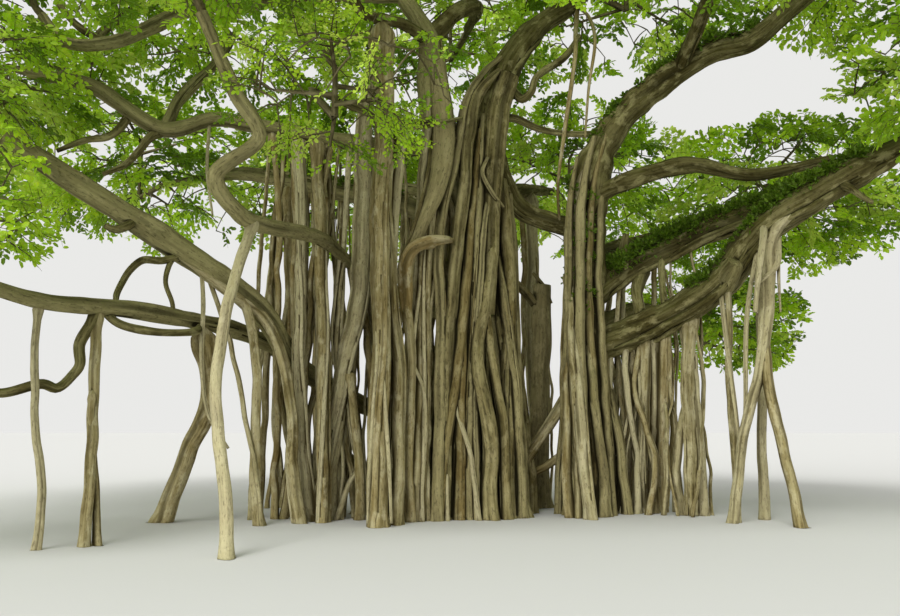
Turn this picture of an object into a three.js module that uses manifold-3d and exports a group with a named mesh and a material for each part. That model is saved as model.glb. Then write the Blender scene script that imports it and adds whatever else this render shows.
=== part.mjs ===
// A spreading banyan tree. A trunk of fused roots and a second trunk beside it carry boughs that
// reach out on all sides. Prop roots hang from the boughs and stand on the ground like pillars.
// Each bough ends in its own mass of foliage, and the masses together make the crown.
// Tables and rules are in metres, +Z is up, and the front of the tree looks along -Y.
import * as THREE from "three";
import { mergeVertices } from "three/addons/utils/BufferGeometryUtils.js";
import Module from "manifold-3d";

const wasm = await Module();
wasm.setup();

// Sizes of the whole tree
const MILLIMETRES = 1000;
const GAP = 0.3 / MILLIMETRES;
const BURIED = 0.3;

// Sizes of the limbs: how many sides a limb has for its radius, and how long one step of it is
const THICK_RADIUS = 0.36;
const THICK_SIDES = 8;
const THIN_SIDES = 6;
const STEP_LENGTH = 1.4;

// Sizes of the prop roots: the flare of a foot and the wander of a root between bough and ground
const FOOT_FLARE = 1.75;
const ROOT_STEP_LENGTH = 2.1;
const ROOT_WANDER = 0.09;

// Sizes of the foliage: how flat a mass is, its twigs, and the leaves that stand for sprays
const FLATNESS = 0.62;
const APART = 0.45;
const GOLDEN_ANGLE = Math.PI * (3 - Math.sqrt(5));
const TWIGS = 6;
const STEM_RADII = [0.13, 0.12, 0.11];
const STEM_STEPS = 3;
const LEADER_RADII = [0.1, 0.08];
const STEM_RISE = 0.32;
const TWIG_RADII = [0.085, 0.05];
const LEAF_LENGTH = 0.64;
const LEAF_WIDTH = 0.78;
const LEAF_WIDEST = 0.42;
const LEAF_THICKNESS = 0.055;
const LIMB_CLEARANCE = 0.05;
const TWIG_DETAIL = 3;
const WOOD_DETAIL = 0.05;

const BARK = new THREE.Color(0x877c66);
const DARK_BARK = new THREE.Color(0x6a604e);
const PALE_BARK = new THREE.Color(0x9c917a);
const LEAF_GREENS = [0x5d8f2c, 0x6d9f33, 0x4c7a28, 0x7dab3c];

const vector = ([x, y, z]) => new THREE.Vector3(x, y, z);

// A seeded sequence of numbers between 0 and 1
function seeded(seed) {
  let state = (seed * 7919 + 104729) >>> 0;
  return () => {
    state = (Math.imul(state, 1664525) + 1013904223) >>> 0;
    return state / 4294967296;
  };
}

// The size at a share of the way along, with the listed sizes spread evenly
function along(sizes, share) {
  const place = share * (sizes.length - 1);
  const first = Math.min(Math.floor(place), sizes.length - 2);
  return sizes[first] + (sizes[first + 1] - sizes[first]) * (place - first);
}

// A geometry in metres as a closed solid in millimetres
function solidOf(geometry) {
  const bare = new THREE.BufferGeometry();
  bare.setAttribute("position", geometry.attributes.position);
  bare.setIndex(geometry.index);
  bare.scale(MILLIMETRES, MILLIMETRES, MILLIMETRES);
  const merged = mergeVertices(bare, 1e-2);
  return new wasm.Manifold(
    new wasm.Mesh({
      numProp: 3,
      vertProperties: merged.attributes.position.array,
      triVerts: new Uint32Array(merged.index.array),
    }),
  );
}

// A limb: rings of sides along a smooth path, of a radius that changes, fluted where it is fused
function limbSolid(limb, grow) {
  const frames = limb.curve.computeFrenetFrames(limb.steps, false);
  const body = new THREE.CylinderGeometry(1, 1, 1, limb.sides, limb.steps);
  const place = body.attributes.position;
  for (let i = 0; i < place.count; i++) {
    const step = Math.round((place.getY(i) + 0.5) * limb.steps);
    const share = step / limb.steps;
    const turn = Math.atan2(place.getZ(i), place.getX(i));
    const flute = 1 + limb.fluteDepth * Math.cos(limb.flutes * turn + 2 * share);
    const radius = along(limb.radii, share) * flute + grow;
    const at = limb.curve.getPointAt(share);
    if (step === 0) at.addScaledVector(frames.tangents[step], -grow);
    if (step === limb.steps) at.addScaledVector(frames.tangents[step], grow);
    at.addScaledVector(frames.normals[step], place.getX(i) * radius);
    at.addScaledVector(frames.binormals[step], -place.getZ(i) * radius);
    place.setXYZ(i, at.x, at.y, at.z);
  }
  return solidOf(body);
}

// The plan of a limb: its path, its radii, and how finely it is faceted
function planLimb(points, radii, choices = {}) {
  const curve = new THREE.CatmullRomCurve3(points.map(vector), false, "centripetal");
  const thick = Math.max(...radii) >= THICK_RADIUS;
  const steps = Math.max(3, Math.round(curve.getLength() / (choices.step ?? STEP_LENGTH)));
  return {
    curve,
    radii,
    steps: choices.steps ?? steps,
    sides: choices.sides ?? (thick ? THICK_SIDES : THIN_SIDES),
    flutes: choices.flutes ?? 0,
    fluteDepth: choices.fluteDepth ?? 0,
  };
}

// A prop root: from its flared foot up to the bough it hangs from, wandering a little on the way
function planRoot({ foot, by = [], top, radius, random }) {
  const base = [foot[0], foot[1], 0];
  const ends = [base, ...by, top];
  const points = [[foot[0], foot[1], -BURIED]];
  ends.slice(1).forEach((end, i) => {
    const start = ends[i];
    const parts = Math.max(1, Math.round((end[2] - start[2]) / 3.2));
    for (let part = i === 0 ? 0.35 : 0; part < parts; part++) {
      const share = part / parts;
      const wander = share > 0 ? ROOT_WANDER : 0;
      points.push([
        start[0] + (end[0] - start[0]) * share + wander * (random() * 2 - 1),
        start[1] + (end[1] - start[1]) * share + wander * (random() * 2 - 1),
        start[2] + (end[2] - start[2]) * share,
      ]);
    }
  });
  points.push(top);
  const radii = [radius * FOOT_FLARE, radius * 1.2, radius * 1.08, radius, radius, radius * 0.95];
  return planLimb(points, radii, { step: ROOT_STEP_LENGTH, sides: radius > 0.18 ? 6 : 5 });
}

// The trunk: a fluted column with fused roots standing round it, up to the fork, and the strands
// that stand free in front of it and grow together with it at the top
const TRUNK_FOOT = [0.1, 0.5];
const TRUNK_ROOTS = 6;
const TRUNK_HEIGHT = 9.3;
const TRUNK_STRANDS = [
  {
    foot: [-1.15, -1.15],
    by: [[-0.67, -1.05, 3.5], [-0.45, -0.95, 5.6], [-0.3, -0.7, 7.7]],
    top: [-0.2, -0.15, 9.2],
    radius: 0.17,
  },
  {
    foot: [-0.82, -0.75],
    by: [[-0.62, -0.8, 3.4], [-0.3, -0.75, 6.0]],
    top: [0.15, -0.3, 8.6],
    radius: 0.14,
  },
  {
    foot: [0.33, -1.0],
    by: [[0.3, -1.05, 2.1], [-0.05, -0.95, 4.4], [0.2, -0.75, 6.1]],
    top: [0.35, -0.3, 8.8],
    radius: 0.19,
  },
  {
    foot: [0.72, -0.85],
    by: [[0.6, -0.85, 2.6], [0.3, -0.85, 4.6]],
    top: [0.2, -0.75, 6.0],
    radius: 0.13,
  },
  { foot: [1.15, -0.45], by: [[1.0, -0.5, 3.5]], top: [0.55, -0.15, 7.2], radius: 0.14 },
  { foot: [-1.45, -0.5], by: [[-1.1, -0.7, 4.5]], top: [-0.6, -0.1, 8.6], radius: 0.12 },
];
function planTrunk() {
  const random = seeded(11);
  const core = planLimb(
    [
      [TRUNK_FOOT[0], TRUNK_FOOT[1], -BURIED],
      [0.1, 0.5, 2.4],
      [0.0, 0.4, 5.4],
      [-0.1, 0.2, TRUNK_HEIGHT],
    ],
    [1.15, 1.0, 0.92, 0.88, 0.84, 0.78, 0.5],
    { steps: 6, sides: 24, flutes: 8, fluteDepth: 0.09 },
  );
  const limbs = [core];
  for (let i = 0; i < TRUNK_ROOTS; i++) {
    const turn = (i / TRUNK_ROOTS) * 2 * Math.PI + 0.5 * random();
    const spread = 1.2 + 0.35 * random();
    const height = 5.6 + 3.0 * random();
    limbs.push(
      planRoot({
        foot: [
          TRUNK_FOOT[0] + spread * Math.cos(turn),
          TRUNK_FOOT[1] + spread * Math.sin(turn) * 0.9,
        ],
        by: [[0.08 + 0.98 * Math.cos(turn), 0.45 + 0.95 * Math.sin(turn), height * 0.55]],
        top: [0.55 * Math.cos(turn), 0.3 + 0.55 * Math.sin(turn), height],
        radius: 0.15 + 0.07 * random(),
        random,
      }),
    );
  }
  TRUNK_STRANDS.forEach((strand) => limbs.push(planRoot({ ...strand, random })));
  return limbs;
}

// The second trunk: a fluted column that bends over into the high bough on the right, with strands
const SECOND_TRUNK_STRANDS = [
  { foot: [3.35, -0.25], by: [[3.2, -0.05, 3.0]], top: [3.1, 0.6, 7.6], radius: 0.13 },
  { foot: [3.55, -0.1], by: [[3.35, 0.1, 1.8]], top: [3.2, 0.5, 3.8], radius: 0.12 },
  { foot: [2.3, 0.75], by: [[2.55, 0.7, 3.2]], top: [2.9, 0.8, 7.2], radius: 0.15 },
  { foot: [4.2, 0.6], by: [[3.95, 0.65, 2.4]], top: [3.4, 0.9, 5.2], radius: 0.15 },
];
function planSecondTrunk() {
  const random = seeded(17);
  const core = planLimb(
    [
      [3.25, 1.15, -BURIED],
      [3.2, 1.05, 2.6],
      [3.15, 1.0, 5.8],
      [3.2, 0.95, 8.9],
    ],
    [0.98, 0.78, 0.7, 0.68, 0.66, 0.62, 0.42],
    { steps: 6, sides: 18, flutes: 6, fluteDepth: 0.1 },
  );
  return [core, ...SECOND_TRUNK_STRANDS.map((strand) => planRoot({ ...strand, random }))];
}

// The cut stump of an old root between the two trunks, with a side limb that joins the trunk
function planStump() {
  const random = seeded(23);
  const stem = planRoot({ foot: [1.9, 2.6], top: [2.05, 2.4, 6.8], radius: 0.3, random });
  const side = planLimb(
    [
      [2.0, 2.45, 6.0],
      [1.4, 1.9, 6.6],
      [0.4, 0.8, 7.1],
    ],
    [0.14, 0.13, 0.11],
  );
  return [stem, side];
}

// The boughs, parents before the limbs that leave them: path from parent to tip, and radii
const BOUGHS = [
  {
    name: "bough_top_left",
    path: [
      [-0.1, 0.2, 8.0],
      [-0.9, -0.5, 10.2],
      [-1.3, -0.8, 11.6],
      [-1.4, -0.8, 13.4],
      [-2.1, -0.8, 14.6],
      [-2.7, -1.0, 15.6],
    ],
    radii: [0.55, 0.52, 0.46, 0.36, 0.26, 0.18],
  },
  {
    name: "bough_upper_right",
    path: [
      [0.1, 0.1, 8.4],
      [0.35, 0.0, 11.0],
      [0.85, 0.4, 12.9],
      [1.9, 0.8, 14.5],
      [3.2, 1.4, 15.6],
    ],
    radii: [0.5, 0.47, 0.44, 0.36, 0.2],
  },
  {
    name: "bough_link",
    path: [
      [0.35, 0.1, 10.7],
      [0.85, 0.75, 9.5],
      [1.3, 1.0, 8.85],
      [2.2, 1.1, 8.5],
      [3.2, 1.0, 8.2],
    ],
    radii: [0.3, 0.28, 0.27, 0.32],
  },
  {
    name: "bough_right_high",
    path: [
      [3.2, 0.95, 7.9],
      [3.5, 0.6, 10.2],
      [4.2, 0.2, 11.4],
      [5.0, -0.2, 12.1],
      [6.6, -0.8, 13.0],
      [7.6, -1.0, 13.2],
      [8.6, -1.6, 13.9],
      [9.5, -2.0, 14.6],
    ],
    radii: [0.58, 0.56, 0.5, 0.42, 0.36, 0.32, 0.28, 0.22],
  },
  {
    name: "bough_right_low",
    path: [
      [3.3, 1.1, 4.7],
      [4.7, 0.6, 5.2],
      [6.1, -0.35, 5.95],
      [6.75, -0.8, 6.5],
      [7.2, -1.2, 7.2],
      [7.8, -1.6, 7.9],
      [9.4, -2.2, 8.8],
      [11.3, -2.8, 9.8],
    ],
    radii: [0.55, 0.46, 0.44, 0.42, 0.44, 0.4, 0.27],
  },
  {
    name: "bough_right_mid",
    path: [
      [3.3, 1.2, 6.2],
      [4.4, 1.2, 7.0],
      [6.2, 0.6, 7.85],
      [7.9, -0.7, 8.3],
      [8.8, -1.95, 8.5],
    ],
    radii: [0.4, 0.35, 0.33, 0.31, 0.3],
  },
  {
    name: "bough_right_stub",
    path: [
      [3.35, 0.7, 9.2],
      [4.4, 0.1, 9.5],
      [6.0, -0.4, 9.8],
      [7.6, -0.8, 9.4],
      [8.6, -1.0, 9.5],
      [9.8, -1.2, 9.75],
    ],
    radii: [0.27, 0.25, 0.22, 0.18, 0.1],
  },
  {
    name: "bough_front_right",
    path: [
      [5.8, -0.5, 12.6],
      [6.0, -2.2, 13.5],
      [5.9, -4.2, 14.1],
      [5.6, -5.6, 14.2],
    ],
    radii: [0.22, 0.19, 0.15],
  },
  {
    name: "bough_right_back",
    path: [
      [3.3, 1.2, 7.3],
      [4.6, 2.6, 8.0],
      [6.5, 3.7, 8.7],
      [8.0, 4.3, 9.2],
    ],
    radii: [0.34, 0.28, 0.22, 0.16],
  },
  {
    name: "bough_right_back_low",
    path: [
      [3.4, 1.4, 5.4],
      [4.9, 3.2, 6.1],
      [6.4, 5.2, 6.3],
      [7.4, 6.5, 6.1],
    ],
    radii: [0.26, 0.22, 0.18, 0.13],
  },
  {
    name: "bough_back_right",
    path: [
      [0.3, 0.7, 8.4],
      [0.9, 2.8, 9.7],
      [2.0, 5.2, 10.6],
      [2.9, 7.2, 11.1],
    ],
    radii: [0.34, 0.28, 0.22, 0.16],
  },
  {
    name: "bough_back_left",
    path: [
      [-0.2, 0.6, 8.2],
      [-0.9, 2.6, 9.6],
      [-2.4, 5.0, 10.6],
      [-3.8, 7.0, 11.0],
    ],
    radii: [0.34, 0.28, 0.22, 0.16],
  },
  {
    name: "bough_left_back",
    path: [
      [-0.1, 0.5, 8.0],
      [-2.3, 0.9, 9.0],
      [-4.1, 1.8, 9.6],
      [-6.0, 2.9, 10.3],
      [-7.8, 3.8, 10.8],
      [-10.2, 5.2, 10.9],
    ],
    radii: [0.32, 0.29, 0.27, 0.25, 0.2, 0.14],
  },
  {
    name: "bough_left_high",
    path: [
      [-0.9, -0.5, 10.3],
      [-2.3, 0.1, 10.45],
      [-4.2, -0.4, 10.55],
      [-6.2, -1.0, 10.75],
      [-7.3, -1.4, 10.8],
      [-8.5, -1.8, 10.35],
      [-10.3, -2.2, 11.4],
      [-12.2, -1.9, 11.9],
    ],
    radii: [0.26, 0.24, 0.22, 0.21, 0.2, 0.21, 0.18, 0.13],
  },
  {
    name: "bough_left_riser",
    path: [
      [-8.5, -1.8, 10.35],
      [-8.25, -1.2, 11.5],
      [-7.6, -0.5, 12.7],
      [-7.3, 0.2, 13.8],
    ],
    radii: [0.17, 0.16, 0.14, 0.11],
  },
  {
    name: "bough_left_top",
    path: [
      [-2.15, -0.8, 14.7],
      [-5.0, -1.4, 14.4],
      [-6.6, -2.0, 13.75],
      [-7.4, -2.4, 13.6],
      [-9.4, -3.2, 12.2],
      [-10.6, -3.4, 12.1],
      [-11.3, -3.2, 12.9],
    ],
    radii: [0.21, 0.2, 0.19, 0.19, 0.18, 0.16, 0.12],
  },
  {
    name: "bough_top_back",
    path: [
      [-1.4, -0.8, 13.4],
      [-0.6, -0.4, 14.4],
      [0.0, 0.7, 15.1],
      [-0.2, 3.2, 15.6],
    ],
    radii: [0.28, 0.24, 0.19, 0.14],
  },
  {
    name: "bough_top_front",
    path: [
      [-1.4, -0.8, 13.3],
      [-2.1, -1.8, 13.35],
      [-3.1, -2.7, 13.2],
      [-3.3, -4.2, 13.5],
      [-2.6, -5.9, 14.1],
    ],
    radii: [0.17, 0.15, 0.13, 0.1],
  },
  {
    name: "bough_front",
    path: [
      [-1.2, -0.8, 11.0],
      [-1.8, -1.9, 10.5],
      [-2.6, -2.8, 10.35],
      [-3.6, -4.5, 10.2],
    ],
    radii: [0.12, 0.11, 0.1, 0.08],
  },
  {
    name: "bough_front_left",
    path: [
      [-0.6, 0.2, 5.3],
      [-1.9, 0.0, 6.0],
      [-3.4, 0.1, 6.8],
      [-3.85, -0.7, 7.15],
      [-4.2, -1.9, 7.35],
      [-5.5, -5.4, 7.15],
      [-5.85, -6.2, 7.8],
      [-4.9, -6.4, 8.6],
      [-5.3, -6.9, 9.4],
      [-6.0, -7.2, 11.0],
    ],
    radii: [0.18, 0.17, 0.17, 0.18, 0.19, 0.19, 0.17, 0.15, 0.12],
    step: 0.75,
  },
  {
    name: "bough_left_long",
    path: [
      [-0.3, 0.7, 2.0],
      [-2.2, 0.9, 2.6],
      [-3.8, 0.6, 3.2],
      [-5.1, -0.4, 4.2],
      [-5.8, -1.6, 5.5],
      [-7.4, -3.0, 6.7],
      [-10.2, -4.2, 8.5],
      [-12.0, -4.9, 9.6],
    ],
    radii: [0.24, 0.2, 0.2, 0.23, 0.29, 0.31, 0.29, 0.22],
  },
  {
    name: "bough_left_low",
    path: [
      [-0.4, 1.3, 2.0],
      [-2.3, 1.6, 2.6],
      [-4.1, 1.0, 3.5],
      [-5.3, 0.4, 4.3],
      [-6.3, -0.8, 4.9],
      [-8.0, -4.2, 5.1],
      [-9.3, -6.6, 5.0],
      [-10.3, -7.9, 5.3],
    ],
    radii: [0.21, 0.2, 0.2, 0.21, 0.21, 0.2, 0.18, 0.13],
  },
];

// The prop roots: where each stands, where it meets its bough, and how thick it is. The roots of
// one entry have grown together into one piece.
const PROP_ROOTS = [
  {
    name: "root_left_outer",
    roots: [{ foot: [-9.0, -6.7], top: [-9.3, -6.6, 5.0], radius: 0.08 }],
  },
  {
    name: "root_left_inner",
    roots: [
      { foot: [-8.25, -6.2], top: [-8.6, -5.35, 5.05], radius: 0.11 },
      { foot: [-8.0, -6.05], top: [-8.45, -5.7, 3.2], radius: 0.08 },
    ],
  },
  {
    name: "root_left_leaning",
    roots: [
      {
        foot: [-8.3, -1.5],
        by: [[-7.4, -1.9, 1.9], [-6.95, -2.1, 3.0]],
        top: [-7.1, -2.4, 5.0],
        radius: 0.22,
      },
    ],
  },
  {
    name: "root_front_left",
    roots: [
      {
        foot: [-4.9, -7.9],
        by: [[-5.45, -7.1, 2.9], [-5.5, -6.3, 4.9]],
        top: [-5.3, -4.8, 7.2],
        radius: 0.12,
      },
    ],
  },
  {
    name: "root_under_long_bough",
    roots: [{ foot: [-5.5, -2.3], top: [-6.0, -1.9, 5.75], radius: 0.13 }],
  },
  {
    name: "roots_left_front",
    roots: [
      { foot: [-4.55, -1.8], by: [[-5.1, -1.75, 4.1]], top: [-5.75, -1.5, 5.4], radius: 0.14 },
      { foot: [-4.35, -1.35], by: [[-4.8, -1.1, 4.2]], top: [-5.1, -0.65, 10.6], radius: 0.15 },
      { foot: [-4.05, -1.6], by: [[-4.25, -1.15, 4.6]], top: [-4.6, -0.5, 10.6], radius: 0.16 },
    ],
  },
  {
    name: "root_centre_leaning",
    roots: [
      {
        foot: [-4.1, -0.75],
        by: [[-3.7, -0.75, 3.9], [-3.3, -0.65, 6.0]],
        top: [-3.3, -0.15, 10.5],
        radius: 0.24,
      },
      { foot: [-3.2, -0.95], by: [[-3.28, -0.95, 2.2]], top: [-3.55, -0.8, 4.0], radius: 0.13 },
    ],
  },
  {
    name: "roots_centre_front",
    roots: [
      { foot: [-2.55, -2.6], by: [[-2.55, -2.4, 5.0]], top: [-2.65, -2.25, 13.25], radius: 0.25 },
      { foot: [-2.15, -2.15], by: [[-2.15, -2.0, 4.0]], top: [-2.5, -2.2, 9.6], radius: 0.16 },
      { foot: [-2.4, -1.75], by: [[-2.42, -1.8, 4.0]], top: [-2.1, -2.1, 10.45], radius: 0.15 },
    ],
  },
  {
    name: "roots_centre_middle",
    roots: [
      { foot: [-1.65, -1.3], by: [[-1.55, -1.25, 5.0]], top: [-1.3, -0.85, 11.3], radius: 0.17 },
      { foot: [-2.0, -1.0], by: [[-1.95, -1.1, 4.0]], top: [-1.6, -1.15, 9.6], radius: 0.13 },
      {
        foot: [-1.8, -1.45],
        by: [[-1.95, -1.5, 6.2], [-1.75, -1.75, 7.1]],
        top: [-1.05, -1.9, 7.3],
        radius: 0.13,
      },
    ],
  },
  {
    name: "roots_second_trunk_front",
    roots: [
      { foot: [2.95, -0.9], by: [[2.75, -0.5, 2.6]], top: [2.8, 0.5, 7.9], radius: 0.15 },
      { foot: [2.45, -0.4], by: [[2.45, -0.2, 3.0]], top: [2.6, 0.2, 6.9], radius: 0.12 },
      { foot: [2.65, -0.55], by: [[2.55, -0.25, 4.6]], top: [2.75, 0.3, 7.4], radius: 0.1 },
    ],
  },
  {
    name: "roots_right_cluster",
    roots: [
      { foot: [4.3, 1.75], top: [4.7, 0.8, 5.1], radius: 0.2 },
      { foot: [4.62, 1.35], top: [4.85, 0.5, 5.2], radius: 0.17 },
      { foot: [5.0, 1.5], top: [5.05, 0.45, 5.3], radius: 0.17 },
      { foot: [5.3, 1.2], top: [5.3, 0.25, 5.5], radius: 0.15 },
    ],
  },
  {
    name: "roots_right_pair",
    roots: [
      { foot: [5.85, 0.3], top: [5.9, -0.15, 5.8], radius: 0.19 },
      { foot: [6.2, 0.15], top: [5.95, -0.05, 4.6], radius: 0.12 },
    ],
  },
  {
    name: "roots_right_forked",
    roots: [
      {
        foot: [6.35, -1.75],
        by: [[6.7, -1.9, 2.2], [7.2, -2.05, 4.1], [7.4, -2.0, 5.0]],
        top: [7.75, -1.6, 7.8],
        radius: 0.16,
      },
      { foot: [7.75, -2.8], by: [[7.5, -2.4, 1.8], [7.3, -2.1, 3.8]], top: [7.35, -2.0, 4.8], radius: 0.14 },
      { foot: [6.5, -1.6], by: [[6.6, -1.3, 3.2]], top: [6.8, -0.85, 6.4], radius: 0.09 },
      { foot: [7.5, -0.9], by: [[7.5, -1.3, 4.2]], top: [7.5, -1.45, 7.5], radius: 0.12 },
    ],
  },
  {
    name: "root_back_left",
    roots: [{ foot: [-5.6, 3.2], top: [-5.9, 2.85, 10.25], radius: 0.2 }],
  },
  {
    name: "roots_back",
    roots: [
      { foot: [-2.0, 4.9], top: [-2.2, 4.7, 10.5], radius: 0.2 },
      { foot: [-1.6, 5.0], top: [-2.0, 4.8, 7.0], radius: 0.14 },
    ],
  },
  {
    name: "root_back_right",
    roots: [{ foot: [2.1, 5.6], top: [2.0, 5.2, 10.6], radius: 0.2 }],
  },
];

// The masses of foliage: the bough each grows from, its centre, and its reach to the side
const MASSES = [
  { name: "foliage_left_long", bough: "bough_left_long", centre: [-13.5, -5.6, 10.6], reach: 4.3 },
  { name: "foliage_left_low", bough: "bough_left_low", centre: [-11.4, -8.9, 6.6], reach: 3.4 },
  { name: "foliage_left_high", bough: "bough_left_high", centre: [-14.2, -0.8, 12.6], reach: 4.6 },
  { name: "foliage_left_top", bough: "bough_left_top", centre: [-11.7, -3.0, 15.0], reach: 4.3 },
  { name: "foliage_left_riser", bough: "bough_left_riser", centre: [-7.8, 1.4, 15.2], reach: 4.8 },
  { name: "foliage_left_back", bough: "bough_left_back", centre: [-12.0, 6.2, 11.6], reach: 5.2 },
  { name: "foliage_back_left", bough: "bough_back_left", centre: [-5.2, 9.4, 12.0], reach: 5.6 },
  { name: "foliage_back_right", bough: "bough_back_right", centre: [4.0, 9.8, 12.0], reach: 5.6 },
  { name: "foliage_right_back", bough: "bough_right_back", centre: [10.2, 4.8, 10.0], reach: 4.8 },
  {
    name: "foliage_right_back_low",
    bough: "bough_right_back_low",
    centre: [8.8, 8.0, 6.2],
    reach: 3.8,
  },
  { name: "foliage_right_low", bough: "bough_right_low", centre: [13.2, -4.0, 11.0], reach: 4.6 },
  { name: "foliage_right_high", bough: "bough_right_high", centre: [11.0, -2.4, 15.6], reach: 4.7 },
  { name: "foliage_front_right", bough: "bough_front_right", centre: [5.2, -7.4, 14.6], reach: 4.8 },
  { name: "foliage_top_front", bough: "bough_top_front", centre: [-1.3, -8.2, 14.7], reach: 4.6 },
  { name: "foliage_front_left", bough: "bough_front_left", centre: [-7.0, -8.2, 13.2], reach: 4.6 },
  { name: "foliage_front", bough: "bough_front", centre: [-3.3, -6.4, 9.6], reach: 2.9 },
  { name: "foliage_top_left", bough: "bough_top_left", centre: [-3.4, -2.4, 16.9], reach: 4.6 },
  { name: "foliage_top_back", bough: "bough_top_back", centre: [-0.8, 5.4, 16.4], reach: 4.9 },
  { name: "foliage_upper_right", bough: "bough_upper_right", centre: [4.8, 1.8, 16.5], reach: 4.8 },
];

// How far a point is inside a mass: negative inside, zero on its outer face
function depthIn(mass, point) {
  const [x, y, z] = mass.centre;
  const side = (point.x - x) ** 2 + (point.y - y) ** 2;
  return side + ((point.z - z) / FLATNESS) ** 2 - mass.reach ** 2;
}

// A mass keeps to the points inside it that lie deeper in it than in any other mass
function inOwnSpace(mass, point) {
  const depth = depthIn(mass, point);
  if (depth > 0 || point.z < 0.5) return false;
  return MASSES.every((other) => other === mass || depthIn(other, point) > depth + APART);
}

// Points along the limbs with their radii, which the foliage keeps clear of
const LIMB_POINT_SPACING = 0.16;
const limbPoints = [];
function noteLimb(limb) {
  const count = Math.ceil(limb.curve.getLength() / LIMB_POINT_SPACING);
  for (let i = 0; i <= count; i++) {
    const share = i / count;
    limbPoints.push({ at: limb.curve.getPointAt(share), radius: along(limb.radii, share) });
  }
}

function twigIsClear(mass, twig, nearby) {
  const line = new THREE.Line3(twig.from, twig.to);
  const nearest = new THREE.Vector3();
  for (let i = 1; i <= 6; i++) {
    if (!inOwnSpace(mass, line.at(i / 6, nearest))) return false;
  }
  return nearby.every(({ at, radius }) => {
    line.closestPointToPoint(at, true, nearest);
    return nearest.distanceTo(at) > radius + twig.radii[0] + LIMB_CLEARANCE;
  });
}

// The four outline corners of a leaf and the two middles of its faces
function leafCorners(leaf) {
  const middle = leaf.root.clone().addScaledVector(leaf.direction, leaf.length * LEAF_WIDEST);
  const halfWidth = (leaf.length * LEAF_WIDTH) / 2;
  const halfThickness = (leaf.length * LEAF_THICKNESS) / 2;
  return {
    root: leaf.root,
    tip: leaf.root.clone().addScaledVector(leaf.direction, leaf.length),
    left: middle.clone().addScaledVector(leaf.side, halfWidth),
    right: middle.clone().addScaledVector(leaf.side, -halfWidth),
    upper: middle.clone().addScaledVector(leaf.normal, halfThickness),
    lower: middle.clone().addScaledVector(leaf.normal, -halfThickness),
  };
}

function leafIsClear(mass, leaf, nearby) {
  const corners = leafCorners(leaf);
  const inside = ["tip", "left", "right", "upper", "lower"].every((corner) =>
    inOwnSpace(mass, corners[corner]),
  );
  if (!inside) return false;
  const offset = new THREE.Vector3();
  return nearby.every(({ at, radius }) => {
    offset.subVectors(at, leaf.root);
    const reach = radius + LIMB_CLEARANCE + (leaf.length * LEAF_THICKNESS) / 2;
    const onLength = offset.dot(leaf.direction) / leaf.length;
    const rise =
      onLength < LEAF_WIDEST ? onLength / LEAF_WIDEST : (1 - onLength) / (1 - LEAF_WIDEST);
    const halfWidth = (leaf.length * LEAF_WIDTH * Math.max(0, rise)) / 2;
    return (
      onLength * leaf.length < -reach ||
      (onLength - 1) * leaf.length > reach ||
      Math.abs(offset.dot(leaf.normal)) > reach ||
      Math.abs(offset.dot(leaf.side)) > halfWidth + reach * 1.3
    );
  });
}

// Whether a straight line passes through a leaf
function lineCrossesLeaf(from, to, leaf) {
  const start = from.clone().sub(leaf.root);
  const end = to.clone().sub(leaf.root);
  const rise = start.dot(leaf.normal);
  const fall = end.dot(leaf.normal);
  if (rise * fall > 0) return false;
  const at = start.lerp(end, rise / (rise - fall));
  const onLength = at.dot(leaf.direction) / leaf.length;
  if (onLength < 0.02 || onLength > 1.05) return false;
  const share =
    onLength < LEAF_WIDEST ? onLength / LEAF_WIDEST : (1 - onLength) / (1 - LEAF_WIDEST);
  return Math.abs(at.dot(leaf.side)) < (leaf.length * LEAF_WIDTH * (share + 0.1)) / 2;
}

function leavesCross(a, b) {
  const crosses = (leaf, other) => {
    const { root, tip, left, right } = leafCorners(leaf);
    const lines = [[root, tip], [root, left], [root, right], [left, tip], [right, tip], [left, right]];
    return lines.some(([from, to]) => lineCrossesLeaf(from, to, other));
  };
  return crosses(a, b) || crosses(b, a);
}

// A direction turned away from another by an angle, to the side that a second angle picks
function turned(direction, away, around) {
  const helper = Math.abs(direction.z) < 0.9 ? new THREE.Vector3(0, 0, 1) : new THREE.Vector3(1, 0, 0);
  const across = new THREE.Vector3().crossVectors(direction, helper).normalize();
  across.applyAxisAngle(direction, around);
  return direction.clone().applyAxisAngle(across, away).normalize();
}

// A step from a point in a direction, with its rise flattened like the mass it is in
function stepFrom(point, direction, length) {
  const flat = new THREE.Vector3(direction.x, direction.y, direction.z * FLATNESS);
  return point.clone().addScaledVector(flat, length);
}

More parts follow.
